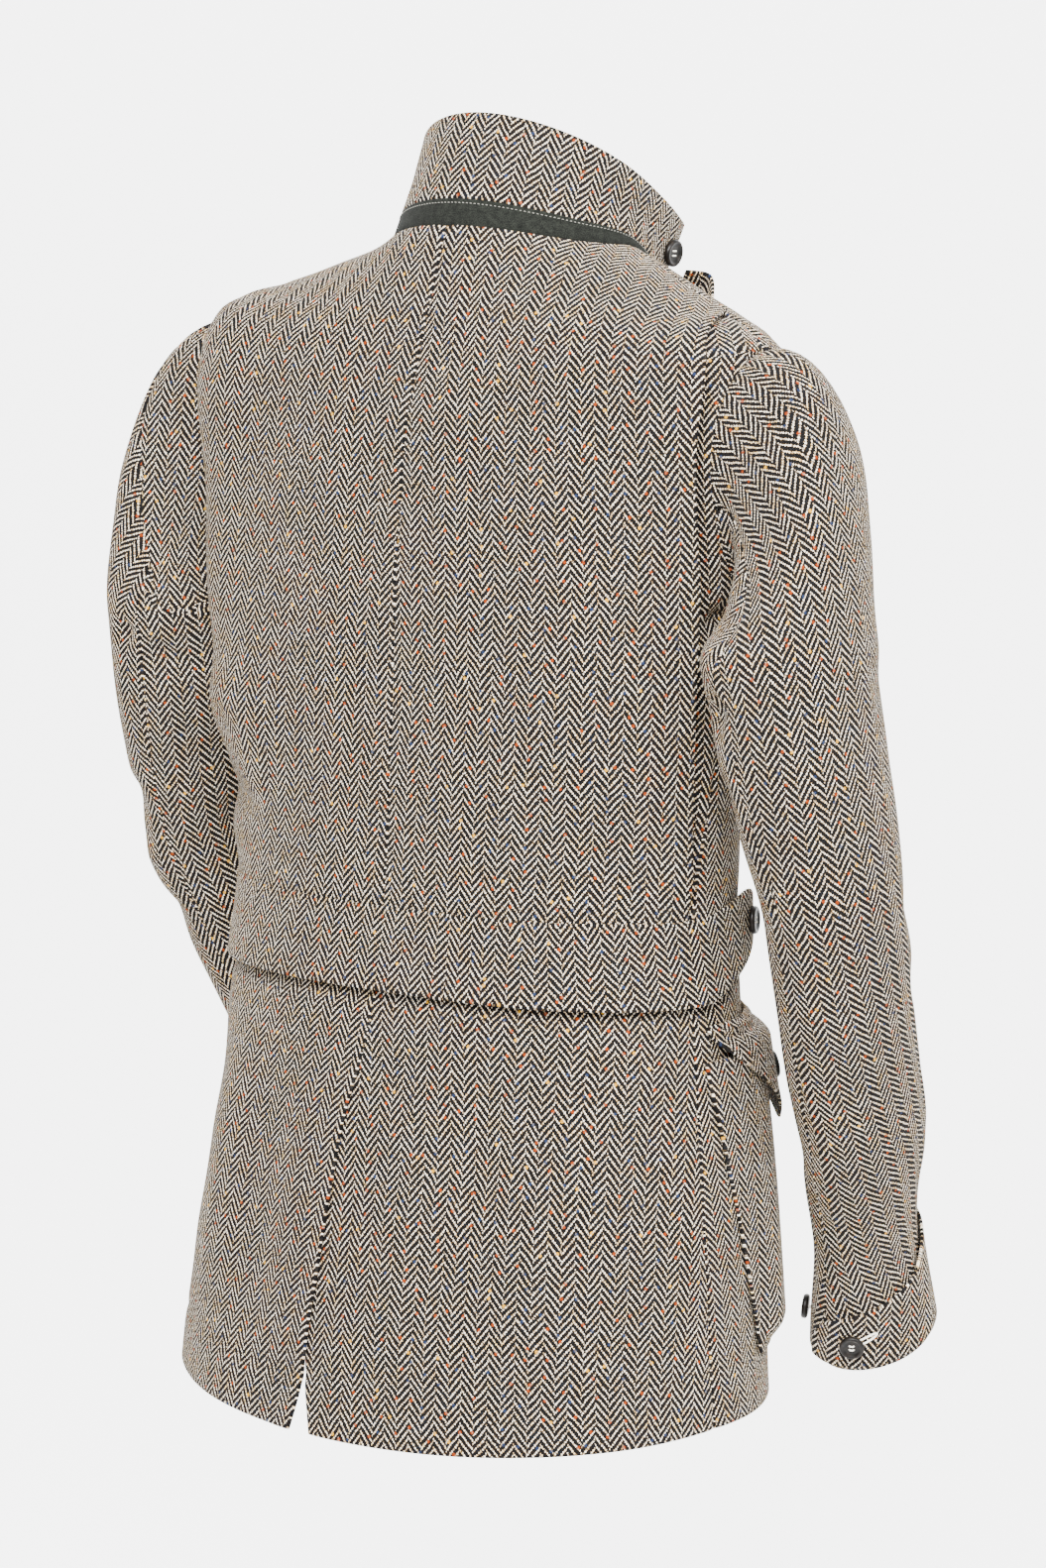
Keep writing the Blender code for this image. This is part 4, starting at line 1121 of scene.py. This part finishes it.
def sleeve_panel(first, last, folds, shifted):
    """One of the two sleeve pieces, from the cuff up to the armhole seam."""
    columns = math.ceil((last - first) * SLEEVE_DEGREE / STEP)
    around = np.linspace(last - SLEEVE_PULL, first + SLEEVE_PULL, columns)
    arm = 1 - steps_for(SLEEVE_LENGTH)[:, None]
    seam = seam_share(around, shifted)
    head = 1 - steps_for(HEAD_LENGTH)[1:, None] * (1 - seam - SEAM_SHARE_PULL * (seam > 0))
    leave_back = 0.0 if shifted else HEAD_LEAVE_BACK
    outer = np.concatenate([sleeve_ring(around, arm), sleeve_head(around, head, leave_back)])
    up = np.concatenate([(1 - arm) * SLEEVE_LENGTH + 0 * seam, SLEEVE_LENGTH + (1 - head) * HEAD_LENGTH])
    out = fold_out(folds, around[None, :], up, SLEEVE_DEGREE) + ripple_out(outer)
    out = out + seam_out(outer, ("first", "last", "top"))
    return outer + mesh_out(outer) * out[..., None]


def tab_sheet():
    """Cuff tab with a round end, wider towards the front."""
    (front, _), *_, (end, _) = TAB_EDGE
    around = end + (front - end) * steps_for(TAB_ACROSS)[None, :]
    top = smooth(TAB_EDGE, around)
    return on_sleeve(around, TAB_FOOT + (top - TAB_FOOT) * steps_for(TAB_UP)[:, None], STRAP_LAY)


def add_cloth(tweed, felt):
    """Makes every cloth piece."""
    for side, mirrored, back_folds, sleeve_folds, head_folds, swell, over in (
        ("_left", False, BACK_FOLDS_LEFT, SLEEVE_FOLDS_LEFT, (), SWELL_LEFT, 1),
        ("_right", True, BACK_FOLDS_RIGHT, SLEEVE_FOLDS_RIGHT, HEAD_FOLDS_RIGHT, SWELL_RIGHT, 0),
    ):
        def make(name, outer, **words):
            return cloth(name + side, outer, tweed, "tweed", mirrored, **words)

        top = sleeve_panel(FORE_SEAM - 360, HIND_SEAM, sleeve_folds + head_folds, over)
        under = sleeve_panel(HIND_SEAM, FORE_SEAM, UNDER_FOLDS + head_folds, over)
        make("back", back_panel(back_folds + swell), rests_on=["side" + side])
        side_grid = side_panel(swell, over)
        make("side", side_grid, weave=wing_grain(side_grid) if over else None)
        make("skirt", skirt_panel(over), held="hung")
        make("front", front_panel(over, swell), held="hung")
        make("lapel", lapel_sheet(over), held="folded", rests_on=["front" + side])
        make("sleeve_top", top, grain="columns", held="hung")
        make("sleeve_under", under, grain="columns", held="hung")
        make("cuff_tab", tab_sheet(), held="laid", rests_on=["sleeve_top" + side])
        make("pocket_bag", bag_sheet(), held="hung", rests_on=["front" + side])
        make("pocket_flap", flap_sheet(), grain="plumb", held="hung", rests_on=["front" + side])
    cloth("belt_back", belt_strip(), tweed, "tweed", held="laid", rests_on=["back_left", "back_right"])
    stand = collar_strip(0.0, STAND_SHARE - STAND_GAP)
    foot = stand[:1] + STAND_TUCK - mesh_out(stand)[:1] * STAND_TUCK_IN
    cloth("collar_stand", np.concatenate([foot, stand]), felt, "felt")
    cloth("collar_leaf", collar_strip(STAND_SHARE + STAND_GAP, 1.0), tweed, "tweed")


# Materials


class Looks:
    """A material and a short way to write its nodes."""

    def __init__(self, name, roughness, sheen=0.0, sheen_roughness=0.5, specular=0.5):
        self.material = bpy.data.materials.new(name)
        self.material.use_nodes = True
        self.tree = self.material.node_tree
        self.shader = self.tree.nodes["Principled BSDF"]
        self.put("Roughness", roughness)
        self.put("Sheen Weight", sheen)
        self.put("Sheen Roughness", sheen_roughness)
        self.put("Specular IOR Level", specular)

    def put(self, name, value):
        """Sets an input of the shader."""
        self.feed(self.shader.inputs[name], value)

    def feed(self, socket, value):
        if isinstance(value, bpy.types.NodeSocket):
            self.tree.links.new(value, socket)
        else:
            socket.default_value = value

    def node(self, kind, **inputs):
        made = self.tree.nodes.new("ShaderNode" + kind)
        for name, value in inputs.items():
            self.feed(made.inputs[name.replace("_", " ")], value)
        return made

    def first(self, made, *values):
        """Feeds a node's inputs in order and gives its first output."""
        for socket, value in zip(made.inputs, values):
            self.feed(socket, value)
        return made.outputs[0]

    def math(self, operation, *values):
        made = self.node("Math")
        made.operation = operation
        return self.first(made, *values)

    def add(self, *values):
        return functools.reduce(lambda total, value: self.math("ADD", total, value), values)

    def times(self, *values):
        return functools.reduce(lambda total, value: self.math("MULTIPLY", total, value), values)

    def less(self, value, by):
        return self.math("SUBTRACT", value, by)

    def mix(self, share, first, second):
        """A colour between two."""
        made = self.node("Mix")
        made.data_type = "RGBA"
        for name, value in (("Factor_Float", share), ("A_Color", first), ("B_Color", second)):
            self.feed(next(socket for socket in made.inputs if socket.identifier == name), value)
        return next(socket for socket in made.outputs if socket.identifier == "Result_Color")

    def noise(self, vector, scale, detail=2.0, output=0):
        return self.node("TexNoise", Vector=vector, Scale=scale, Detail=detail).outputs[output]

    def ramp(self, value, start, stop):
        """0 to 1 as a value goes from start to stop."""
        made = self.node("MapRange")
        made.interpolation_type = "SMOOTHSTEP"
        return self.first(made, value, start, stop, 0.0, 1.0)

    def grain(self):
        """The cloth's own coordinates in metres, across and up."""
        made = self.node("Attribute")
        made.attribute_name = "grain"
        return made.outputs["Vector"]

    def vector(self, x, y, z=0.0):
        return self.node("CombineXYZ", X=x, Y=y, Z=z).outputs[0]

    def bump(self, height, distance, strength):
        self.put("Normal", self.node("Bump", Height=height, Distance=distance, Strength=strength).outputs[0])


def colour(red, green, blue):
    """Linear colour of sRGB values from 0 to 255."""
    values = np.array([red, green, blue]) / 255
    return (*np.where(values <= 0.04045, values / 12.92, ((values + 0.055) / 1.055) ** 2.4).tolist(), 1.0)


CREAM = colour(242, 236, 222)
STRAW = colour(238, 208, 136)
PEACH = colour(224, 188, 138)
BISCUIT = colour(160, 126, 80)
TICK = colour(36, 34, 32)
CHARCOAL = colour(12, 11, 11)
SLATE = colour(17, 20, 25)
UMBER = colour(24, 18, 14)
RUST = colour(126, 50, 14)
BLUE = colour(32, 42, 66)
MUSTARD = colour(190, 138, 36)
BLACK = colour(0, 0, 0)
FLECKS = ((0.0, 0.40, RUST), (0.40, 0.64, BLUE), (0.64, 0.74, MUSTARD))  # what shares of the cells have them
FELT_DARK = colour(10, 11, 10)
FELT_LIGHT = colour(34, 36, 32)
HORN_DARK = colour(9, 8, 7)
HORN_LIGHT = colour(27, 22, 18)
THREAD_COLOURS = (colour(205, 198, 182), colour(246, 242, 232))
BAND_THREAD_COLOURS = (colour(96, 96, 90), colour(150, 148, 140))
STAGE_WHITE = colour(252, 252, 252)
GLOW_WHITE = colour(255, 255, 255)


def tweed_material():
    """Two-and-two herringbone of cream and charcoal threads with coloured flecks, and painted shade in the
    hollows between threads.
    """
    look = Looks("tweed", roughness=0.92, sheen=0.02, sheen_roughness=0.4, specular=0.03)
    grain = look.grain()
    along, up = uneven(look, grain)
    end, pick = look.math("DIVIDE", along, WARP), look.math("DIVIDE", up, WEFT)
    end_number, pick_number = look.math("FLOOR", end), look.math("FLOOR", pick)
    end_share, pick_share = look.math("FRACT", end), look.math("FRACT", pick)
    falls = look.math("FLOORED_MODULO", look.math("FLOOR", look.math("DIVIDE", end_number, RIB_ENDS)), 2.0)
    stairs = look.add(end_number, look.ramp(end_share, *LINE_STEP))
    climb = look.times(stairs, look.less(1.0, look.times(falls, 2.0)))
    phase = look.add(look.less(pick, climb), look.times(falls, RIB_BREAK))
    off_line = look.math("ABSOLUTE", look.add(look.math("FRACT", look.math("DIVIDE", phase, TWILL)), -0.5))
    off_line = look.add(off_line, look.times(look.add(look.noise(grain, LINE_NOISE), -0.5), LINE_UNEVEN))
    line_edge = DARK_SHARE / 2
    dark = look.ramp(off_line, line_edge + LINE_SOFT, line_edge - LINE_SOFT)
    fringe = look.ramp(off_line, line_edge + FRINGE, line_edge)
    warp_round = look.math("SINE", look.times(end_share, math.pi))
    weft_round = look.math("SINE", look.times(pick_share, math.pi))
    height = look.add(look.times(warp_round, look.less(1.0, dark)), look.times(weft_round, dark))
    warp_tint = look.noise(look.vector(end_number, look.times(pick, TINT_RUN)), 1.0)
    weft_tint = look.noise(look.vector(look.times(end, TINT_RUN), pick_number, TINT_APART), 1.0)
    light = look.mix(look.ramp(warp_tint, *STRAW_TINT), CREAM, STRAW)
    light = look.mix(look.ramp(warp_tint, *PEACH_TINT), light, PEACH)
    light = look.mix(fringe, light, BISCUIT)
    deep = look.mix(look.ramp(weft_tint, *SLATE_TINT), CHARCOAL, SLATE)
    deep = look.mix(look.ramp(weft_tint, *UMBER_TINT), deep, UMBER)
    deep = look.mix(look.ramp(warp_round, *TICK_EDGE), deep, TICK)
    woven = fleck(look, grain, look.mix(dark, light, deep))
    # Painted shade: the hollows between threads are darkened in the base colour, and the patches below vary
    # the cloth's tone at random
    hollow_shade_and_tone = look.add(1 - THREAD_SHADE, look.times(height, THREAD_SHADE))
    patches = look.times(look.noise(grain, PATCH_NOISE), PATCH_SHADE)
    hollow_shade_and_tone = look.times(hollow_shade_and_tone, look.add(1 - PATCH_SHADE / 2, patches))
    look.put("Base Color", look.mix(look.less(1.0, hollow_shade_and_tone), woven, BLACK))
    look.bump(height, *WEAVE_BUMP)
    return look.material


def uneven(look, grain):
    """Places across and up the cloth, moved a little so that no thread runs quite straight."""
    moved = look.node("SeparateXYZ", Vector=grain).outputs[:2]
    for scale, reach in UNEVEN:
        shift = look.node("SeparateXYZ", Vector=look.noise(grain, scale, output="Color")).outputs[:2]
        moved = [look.add(place, look.times(look.add(by, -0.5), reach)) for place, by in zip(moved, shift)]
    return moved


def fleck(look, grain, woven):
    """Adds the coloured flecks to a weave."""
    cells = look.node("TexVoronoi", Vector=grain, Scale=FLECK_CELLS)
    cells.voronoi_dimensions = "2D"
    inside = look.ramp(cells.outputs["Distance"], *FLECK_EDGE)
    pick = look.node("SeparateXYZ", Vector=cells.outputs["Color"]).outputs[0]
    for low, high, tint in FLECKS:
        chosen = look.times(inside, look.math("GREATER_THAN", pick, low), look.math("LESS_THAN", pick, high))
        woven = look.mix(look.times(chosen, FLECK_STRENGTH), woven, tint)
    return woven


def felt_material():
    """Pressed dark wool."""
    look = Looks("felt", roughness=0.95, sheen=0.02, specular=0.04)
    grain = look.grain()
    fibres = look.noise(grain, *FELT_FIBRES)
    patches = look.noise(grain, *FELT_PATCHES)
    tone = look.add(look.times(fibres, FELT_FIBRE_SHARE), look.times(patches, 1 - FELT_FIBRE_SHARE))
    look.put("Base Color", look.mix(look.ramp(tone, *FELT_TONES), FELT_DARK, FELT_LIGHT))
    look.bump(fibres, *FELT_BUMP)
    return look.material


def horn_material():
    """Dark brown horn with faint streaks."""
    look = Looks("horn", roughness=0.32, specular=0.16)
    streaks = look.noise(look.node("TexCoord").outputs["Object"], *HORN_STREAKS)
    look.put("Base Color", look.mix(look.ramp(streaks, *HORN_TONES), HORN_DARK, HORN_LIGHT))
    look.put("Roughness", look.add(HORN_ROUGHNESS, look.times(streaks, HORN_STREAK_ROUGHNESS)))
    return look.material


def thread_material(name, dark, light):
    """Twisted sewing thread."""
    look = Looks(name, roughness=0.85, specular=0.1)
    twist = look.noise(look.node("TexCoord").outputs["Object"], *THREAD_TWIST)
    look.put("Base Color", look.mix(twist, dark, light))
    return look.material


# Buttons and thread


def turned_button():
    """Points and faces of a four-hole button of radius 1 and height 1."""
    angles = np.arange(BUTTON_SIDES) * 2 * math.pi / BUTTON_SIDES
    circle = np.stack([np.cos(angles), np.sin(angles)], axis=-1)
    made = bmesh.new()
    rings = [new_ring(made, circle * wide, high) for wide, high in BUTTON_PROFILE]
    for low, high in zip(rings[:-1], rings[1:]):
        join_rings(made, low, high)
    made.faces.new(rings[0][::-1])
    add_button_face(made, circle)
    bmesh.ops.remove_doubles(made, verts=made.verts, dist=WELD)
    points = np.array([vert.co for vert in made.verts])
    made.verts.index_update()
    faces = [[vert.index for vert in face.verts] for face in made.faces]
    made.free()
    return points, faces


def new_ring(made, spots, high):
    return [made.verts.new((*spot, high)) for spot in spots]


def join_rings(made, low, high):
    for side in range(len(low)):
        made.faces.new((low[side], low[side - len(low) + 1], high[side - len(low) + 1], high[side]))


def add_button_face(made, circle):
    """Adds the flat face inside a button's last ring and its four holes."""
    wide, face_high = BUTTON_PROFILE[-1]
    hole = circle[:: BUTTON_SIDES // HOLE_SIDES] * HOLE
    outlines = [circle * wide] + [hole + centre for centre in HOLE_CENTRES]
    spots = [Vector(spot) for outline in outlines for spot in outline]
    edges, first = [], 0
    for outline in outlines:
        edges += [(first + i, first + (i + 1) % len(outline)) for i in range(len(outline))]
        first += len(outline)
    flat, _, faces, *_ = delaunay_2d_cdt(spots, edges, [], 1, WELD)
    verts = new_ring(made, flat, face_high)
    for face in faces:
        middle = np.mean([flat[i] for i in face], axis=0)
        if min(np.linalg.norm(middle - centre) for centre in HOLE_CENTRES) > HOLE:
            made.faces.new([verts[i] for i in face])
    for centre in HOLE_CENTRES:
        top, foot = (new_ring(made, hole + centre, high) for high in (face_high, HOLE_FOOT))
        join_rings(made, foot, top)
        made.faces.new(foot)


def tube(path, radius, closed=False):
    """Points and faces of a round thread along a path."""
    path = np.asarray(path, float)
    run = np.roll(path, -1, axis=0) - np.roll(path, 1, axis=0) if closed else np.gradient(path, axis=0)
    run = unit(run)
    aside = unit(np.cross(run, TUBE_REFERENCE))
    third = np.cross(run, aside)
    angles = (np.arange(TUBE_SIDES) * 2 * math.pi / TUBE_SIDES)[None, :, None]
    points = path[:, None] + (aside[:, None] * np.cos(angles) + third[:, None] * np.sin(angles)) * radius
    index = np.arange(len(path) * TUBE_SIDES).reshape(len(path), TUBE_SIDES)
    near, far = (index, np.roll(index, -1, axis=0)) if closed else (index[:-1], index[1:])
    corners = [near, far, np.roll(far, -1, axis=1), np.roll(near, -1, axis=1)]
    faces = np.stack(corners, axis=-1).reshape(-1, 4).tolist()
    if not closed:
        faces += [index[0].tolist(), index[-1, ::-1].tolist()]
    return points.reshape(-1, 3), faces


def joined(parts):
    """Points and faces of several meshes as one."""
    points, faces = [], []
    for part_points, part_faces in parts:
        first = sum(len(some) for some in points)
        points.append(part_points)
        faces += [[first + i for i in face] for face in part_faces]
    return np.concatenate(points), faces


def surface_point(surface, u, v, step_u, step_v):
    """Function of a distance out along a surface's normal."""
    point = surface(u, v)
    along = surface(u + step_u, v) - surface(u - step_u, v)
    up = surface(u, v + step_v) - surface(u, v - step_v)
    normal = unit(np.cross(up, along))
    return lambda out: point + normal * out


def add_button(name, place, radius, looks, mirrored=False, shank=0.0, lean=0.0):
    """Makes a button on its place, sewn on through its four holes with two bars of thread."""
    horn, thread = looks
    centre, axis = place(BUTTON_CLEAR + shank), unit(unit(place(PROBE_OUT) - place(0.0)) + lean)
    aside = unit(np.cross(axis, TUBE_REFERENCE))
    turned = np.stack([aside * radius, np.cross(axis, aside) * radius, axis * BUTTON_THICK])
    points, faces = BUTTON_SHAPE
    bars = []
    for first, last in BARS:
        start, way = HOLE_CENTRES[first], HOLE_CENTRES[last] - HOLE_CENTRES[first]
        spots = [(*(start + way * share), high) for share, high in BAR_PATH]
        bars.append(tube(centre + np.array(spots) @ turned, THREAD_RADIUS))
    if shank:
        bars.append(tube([place(-EDGE), place(shank / 2), place(shank + BUTTON_CLEAR * 2)], SHANK_RADIUS))
    for title, mesh_points, mesh_faces, material in (
        ("turned_" + name, centre + points @ turned, faces, horn),
        ("thread_" + name, *joined(bars), thread),
    ):
        if mirrored:
            mesh_faces = [face[::-1] for face in mesh_faces]
        piece = new_object(title, on_form(mesh_points, mirrored), mesh_faces, material)
        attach(piece, "root")
        if material == horn:
            piece.data.set_sharp_from_angle(angle=BUTTON_CREASE)
            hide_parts(name)


def add_buttons(looks):
    """Makes every button where it is sewn on."""
    on_collar = surface_point(collar, *COLLAR_BUTTON, *COLLAR_PROBE)
    add_button("button_collar", on_collar, BUTTON, looks, shank=COLLAR_SHANK, lean=COLLAR_BUTTON_LEAN)
    button_rise = 1 - FLAP_BUTTON_DROP / FLAP_MIDDLE
    belt = surface_point(belt_place, BELT_BUTTON_TURN, 0.5, *BELT_PROBE)
    flap = surface_point(lambda share, rise: flap_place(share, 1 - rise), 0.5, button_rise, *FLAP_PROBE)
    for side, mirrored in SIDES:
        add_button("button_belt" + side, belt, BUTTON, looks, mirrored)
        add_button("button_flap" + side, flap, BUTTON, looks, mirrored)
        for number, (around, reach, on_tab) in enumerate(CUFF_BUTTONS, 1):
            base, shank = (STRAP_LAY, 0.0) if on_tab else (0.0, CUFF_SHANK)
            cuff = functools.partial(above_sleeve, around, reach, base)
            add_button(f"button_cuff{side}_{number}", cuff, CUFF_BUTTON, looks, mirrored, shank)
    for number, level in enumerate(FRONT_BUTTONS, 1):
        add_button(f"button_front_{number}", functools.partial(above_front, level), BUTTON, looks)


def above_sleeve(around, reach, base, out):
    return on_sleeve(around, reach, base + out)


def above_front(level, out):
    """Point out from the front's middle line."""
    return on_body(180.0, level, front_out(180.0, level) + out)


def stitch_row(path, out):
    """Short stitches along a path, raised in their middles."""
    run = np.concatenate([[0.0], np.cumsum(np.linalg.norm(np.diff(path, axis=0), axis=-1))])
    parts = []
    for start in np.arange(STITCH_PITCH, run[-1] - STITCH_PITCH, STITCH_PITCH):
        at = start + STITCH_LENGTH * STITCH_PLACES
        spots, raised = part_way(path, run, at), part_way(out, run, at)
        parts.append(tube(spots + raised * STITCH_RISE * STITCH_HEIGHTS, STITCH_RADIUS))
    return parts


def part_way(vectors, run, at):
    """Vectors between those given along a run."""
    return np.stack([np.interp(at, run, axis) for axis in vectors.T], axis=-1)


def add_stitches(thread, band_thread):
    """Sewing that shows: the row along the felt band and the cuff tabs' buttonholes."""
    turn = np.linspace(-STITCH_END, STITCH_END, STITCH_MARKS)[None, :]
    rows = collar(turn, STAND_STITCH + STITCH_ASIDE)
    add_thread("stitches_band", joined(stitch_row(on_form(rows[1], False), mesh_out(rows)[1])), band_thread)
    angle = np.linspace(0, 2 * math.pi, HOLE_LOOP, endpoint=False)
    along = (1 - np.cos(angle)) / 2
    button_around, button_reach, _ = CUFF_BUTTONS[0]
    around = button_around - BUTTONHOLE_TURN * along
    reach = button_reach - BUTTONHOLE_RISE * along + BUTTONHOLE_WIDTH * np.sin(angle)
    for side, mirrored in SIDES:
        loop = on_form(on_sleeve(around, reach, STRAP_LAY + BUTTONHOLE_RADIUS / 2), mirrored)
        add_thread("buttonhole" + side, tube(loop, BUTTONHOLE_RADIUS, True), thread)


def add_thread(name, mesh, thread):
    piece = new_object(name, *mesh, thread)
    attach(piece, "root")


# Stage


def add_stage():
    """Pale floor and a white wall that is lit from within."""
    turn = math.radians(CAMERA_TURN)
    away = np.array([-math.sin(turn), math.cos(turn), 0.0])
    aside = np.array([away[1], -away[0], 0.0])
    curve = [(WALL_AWAY + WALL_BEND * math.sin(a), WALL_BEND * (1 - math.cos(a))) for a in WALL_BEND_ANGLES]
    floor = [(-FLOOR_NEAR, 0.0), (WALL_AWAY, 0.0)]
    back = [(WALL_AWAY, 0.0), *curve, (WALL_AWAY + WALL_BEND, WALL_HEIGHT)]
    for name, profile, glow in (("floor", floor, 0.0), ("wall", back, WALL_GLOW)):
        look = Looks(name, STAGE_ROUGHNESS)
        look.put("Base Color", STAGE_WHITE)
        look.put("Emission Color", GLOW_WHITE)
        look.put("Emission Strength", glow)
        points = [away * run + aside * wide + np.array([0, 0, FLOOR + high])
                  for run, high in profile for wide in (-FLOOR_HALF, FLOOR_HALF)]
        faces = [(i, i + 1, i + 3, i + 2) for i in range(0, len(points) - 2, 2)]
        new_object(name, points, faces, look.material)


def face_part(name, data, turn, rise, away):
    """Places a light or a camera so that it faces the part."""
    a, e = math.radians(turn), math.radians(rise)
    back = Vector((math.sin(a) * math.cos(e), -math.cos(a) * math.cos(e), math.sin(e)))
    piece = bpy.data.objects.new(name, data)
    piece.location = CAMERA_AIM + back * away
    piece.rotation_euler = back.to_track_quat("Z", "Y").to_euler()
    bpy.context.collection.objects.link(piece)
    return piece


def add_light(name, turn, rise, away, size, power):
    """Makes a square soft light."""
    lamp = bpy.data.lights.new(name, "AREA")
    lamp.size = size
    lamp.energy = power
    face_part(name, lamp, turn, rise, away)


def add_camera():
    lens = bpy.data.cameras.new("camera")
    lens.lens = CAMERA_LENS
    lens.sensor_width = CAMERA_SENSOR
    bpy.context.scene.camera = face_part("camera", lens, CAMERA_TURN, CAMERA_RISE, CAMERA_AWAY)


def add_world():
    world = bpy.data.worlds.new("studio")
    world.use_nodes = True
    sky = world.node_tree.nodes["Background"]
    sky.inputs["Color"].default_value = GLOW_WHITE
    sky.inputs["Strength"].default_value = WORLD_LIGHT
    bpy.context.scene.world = world


def main():
    add_camera()
    add_world()
    add_stage()
    for light in LIGHTS:
        add_light(*light)
    add_cloth(tweed_material(), felt_material())
    thread = thread_material("thread", *THREAD_COLOURS)
    add_buttons((horn_material(), thread))
    add_stitches(thread, thread_material("band_thread", *BAND_THREAD_COLOURS))


BUTTON_SHAPE = turned_button()
main()
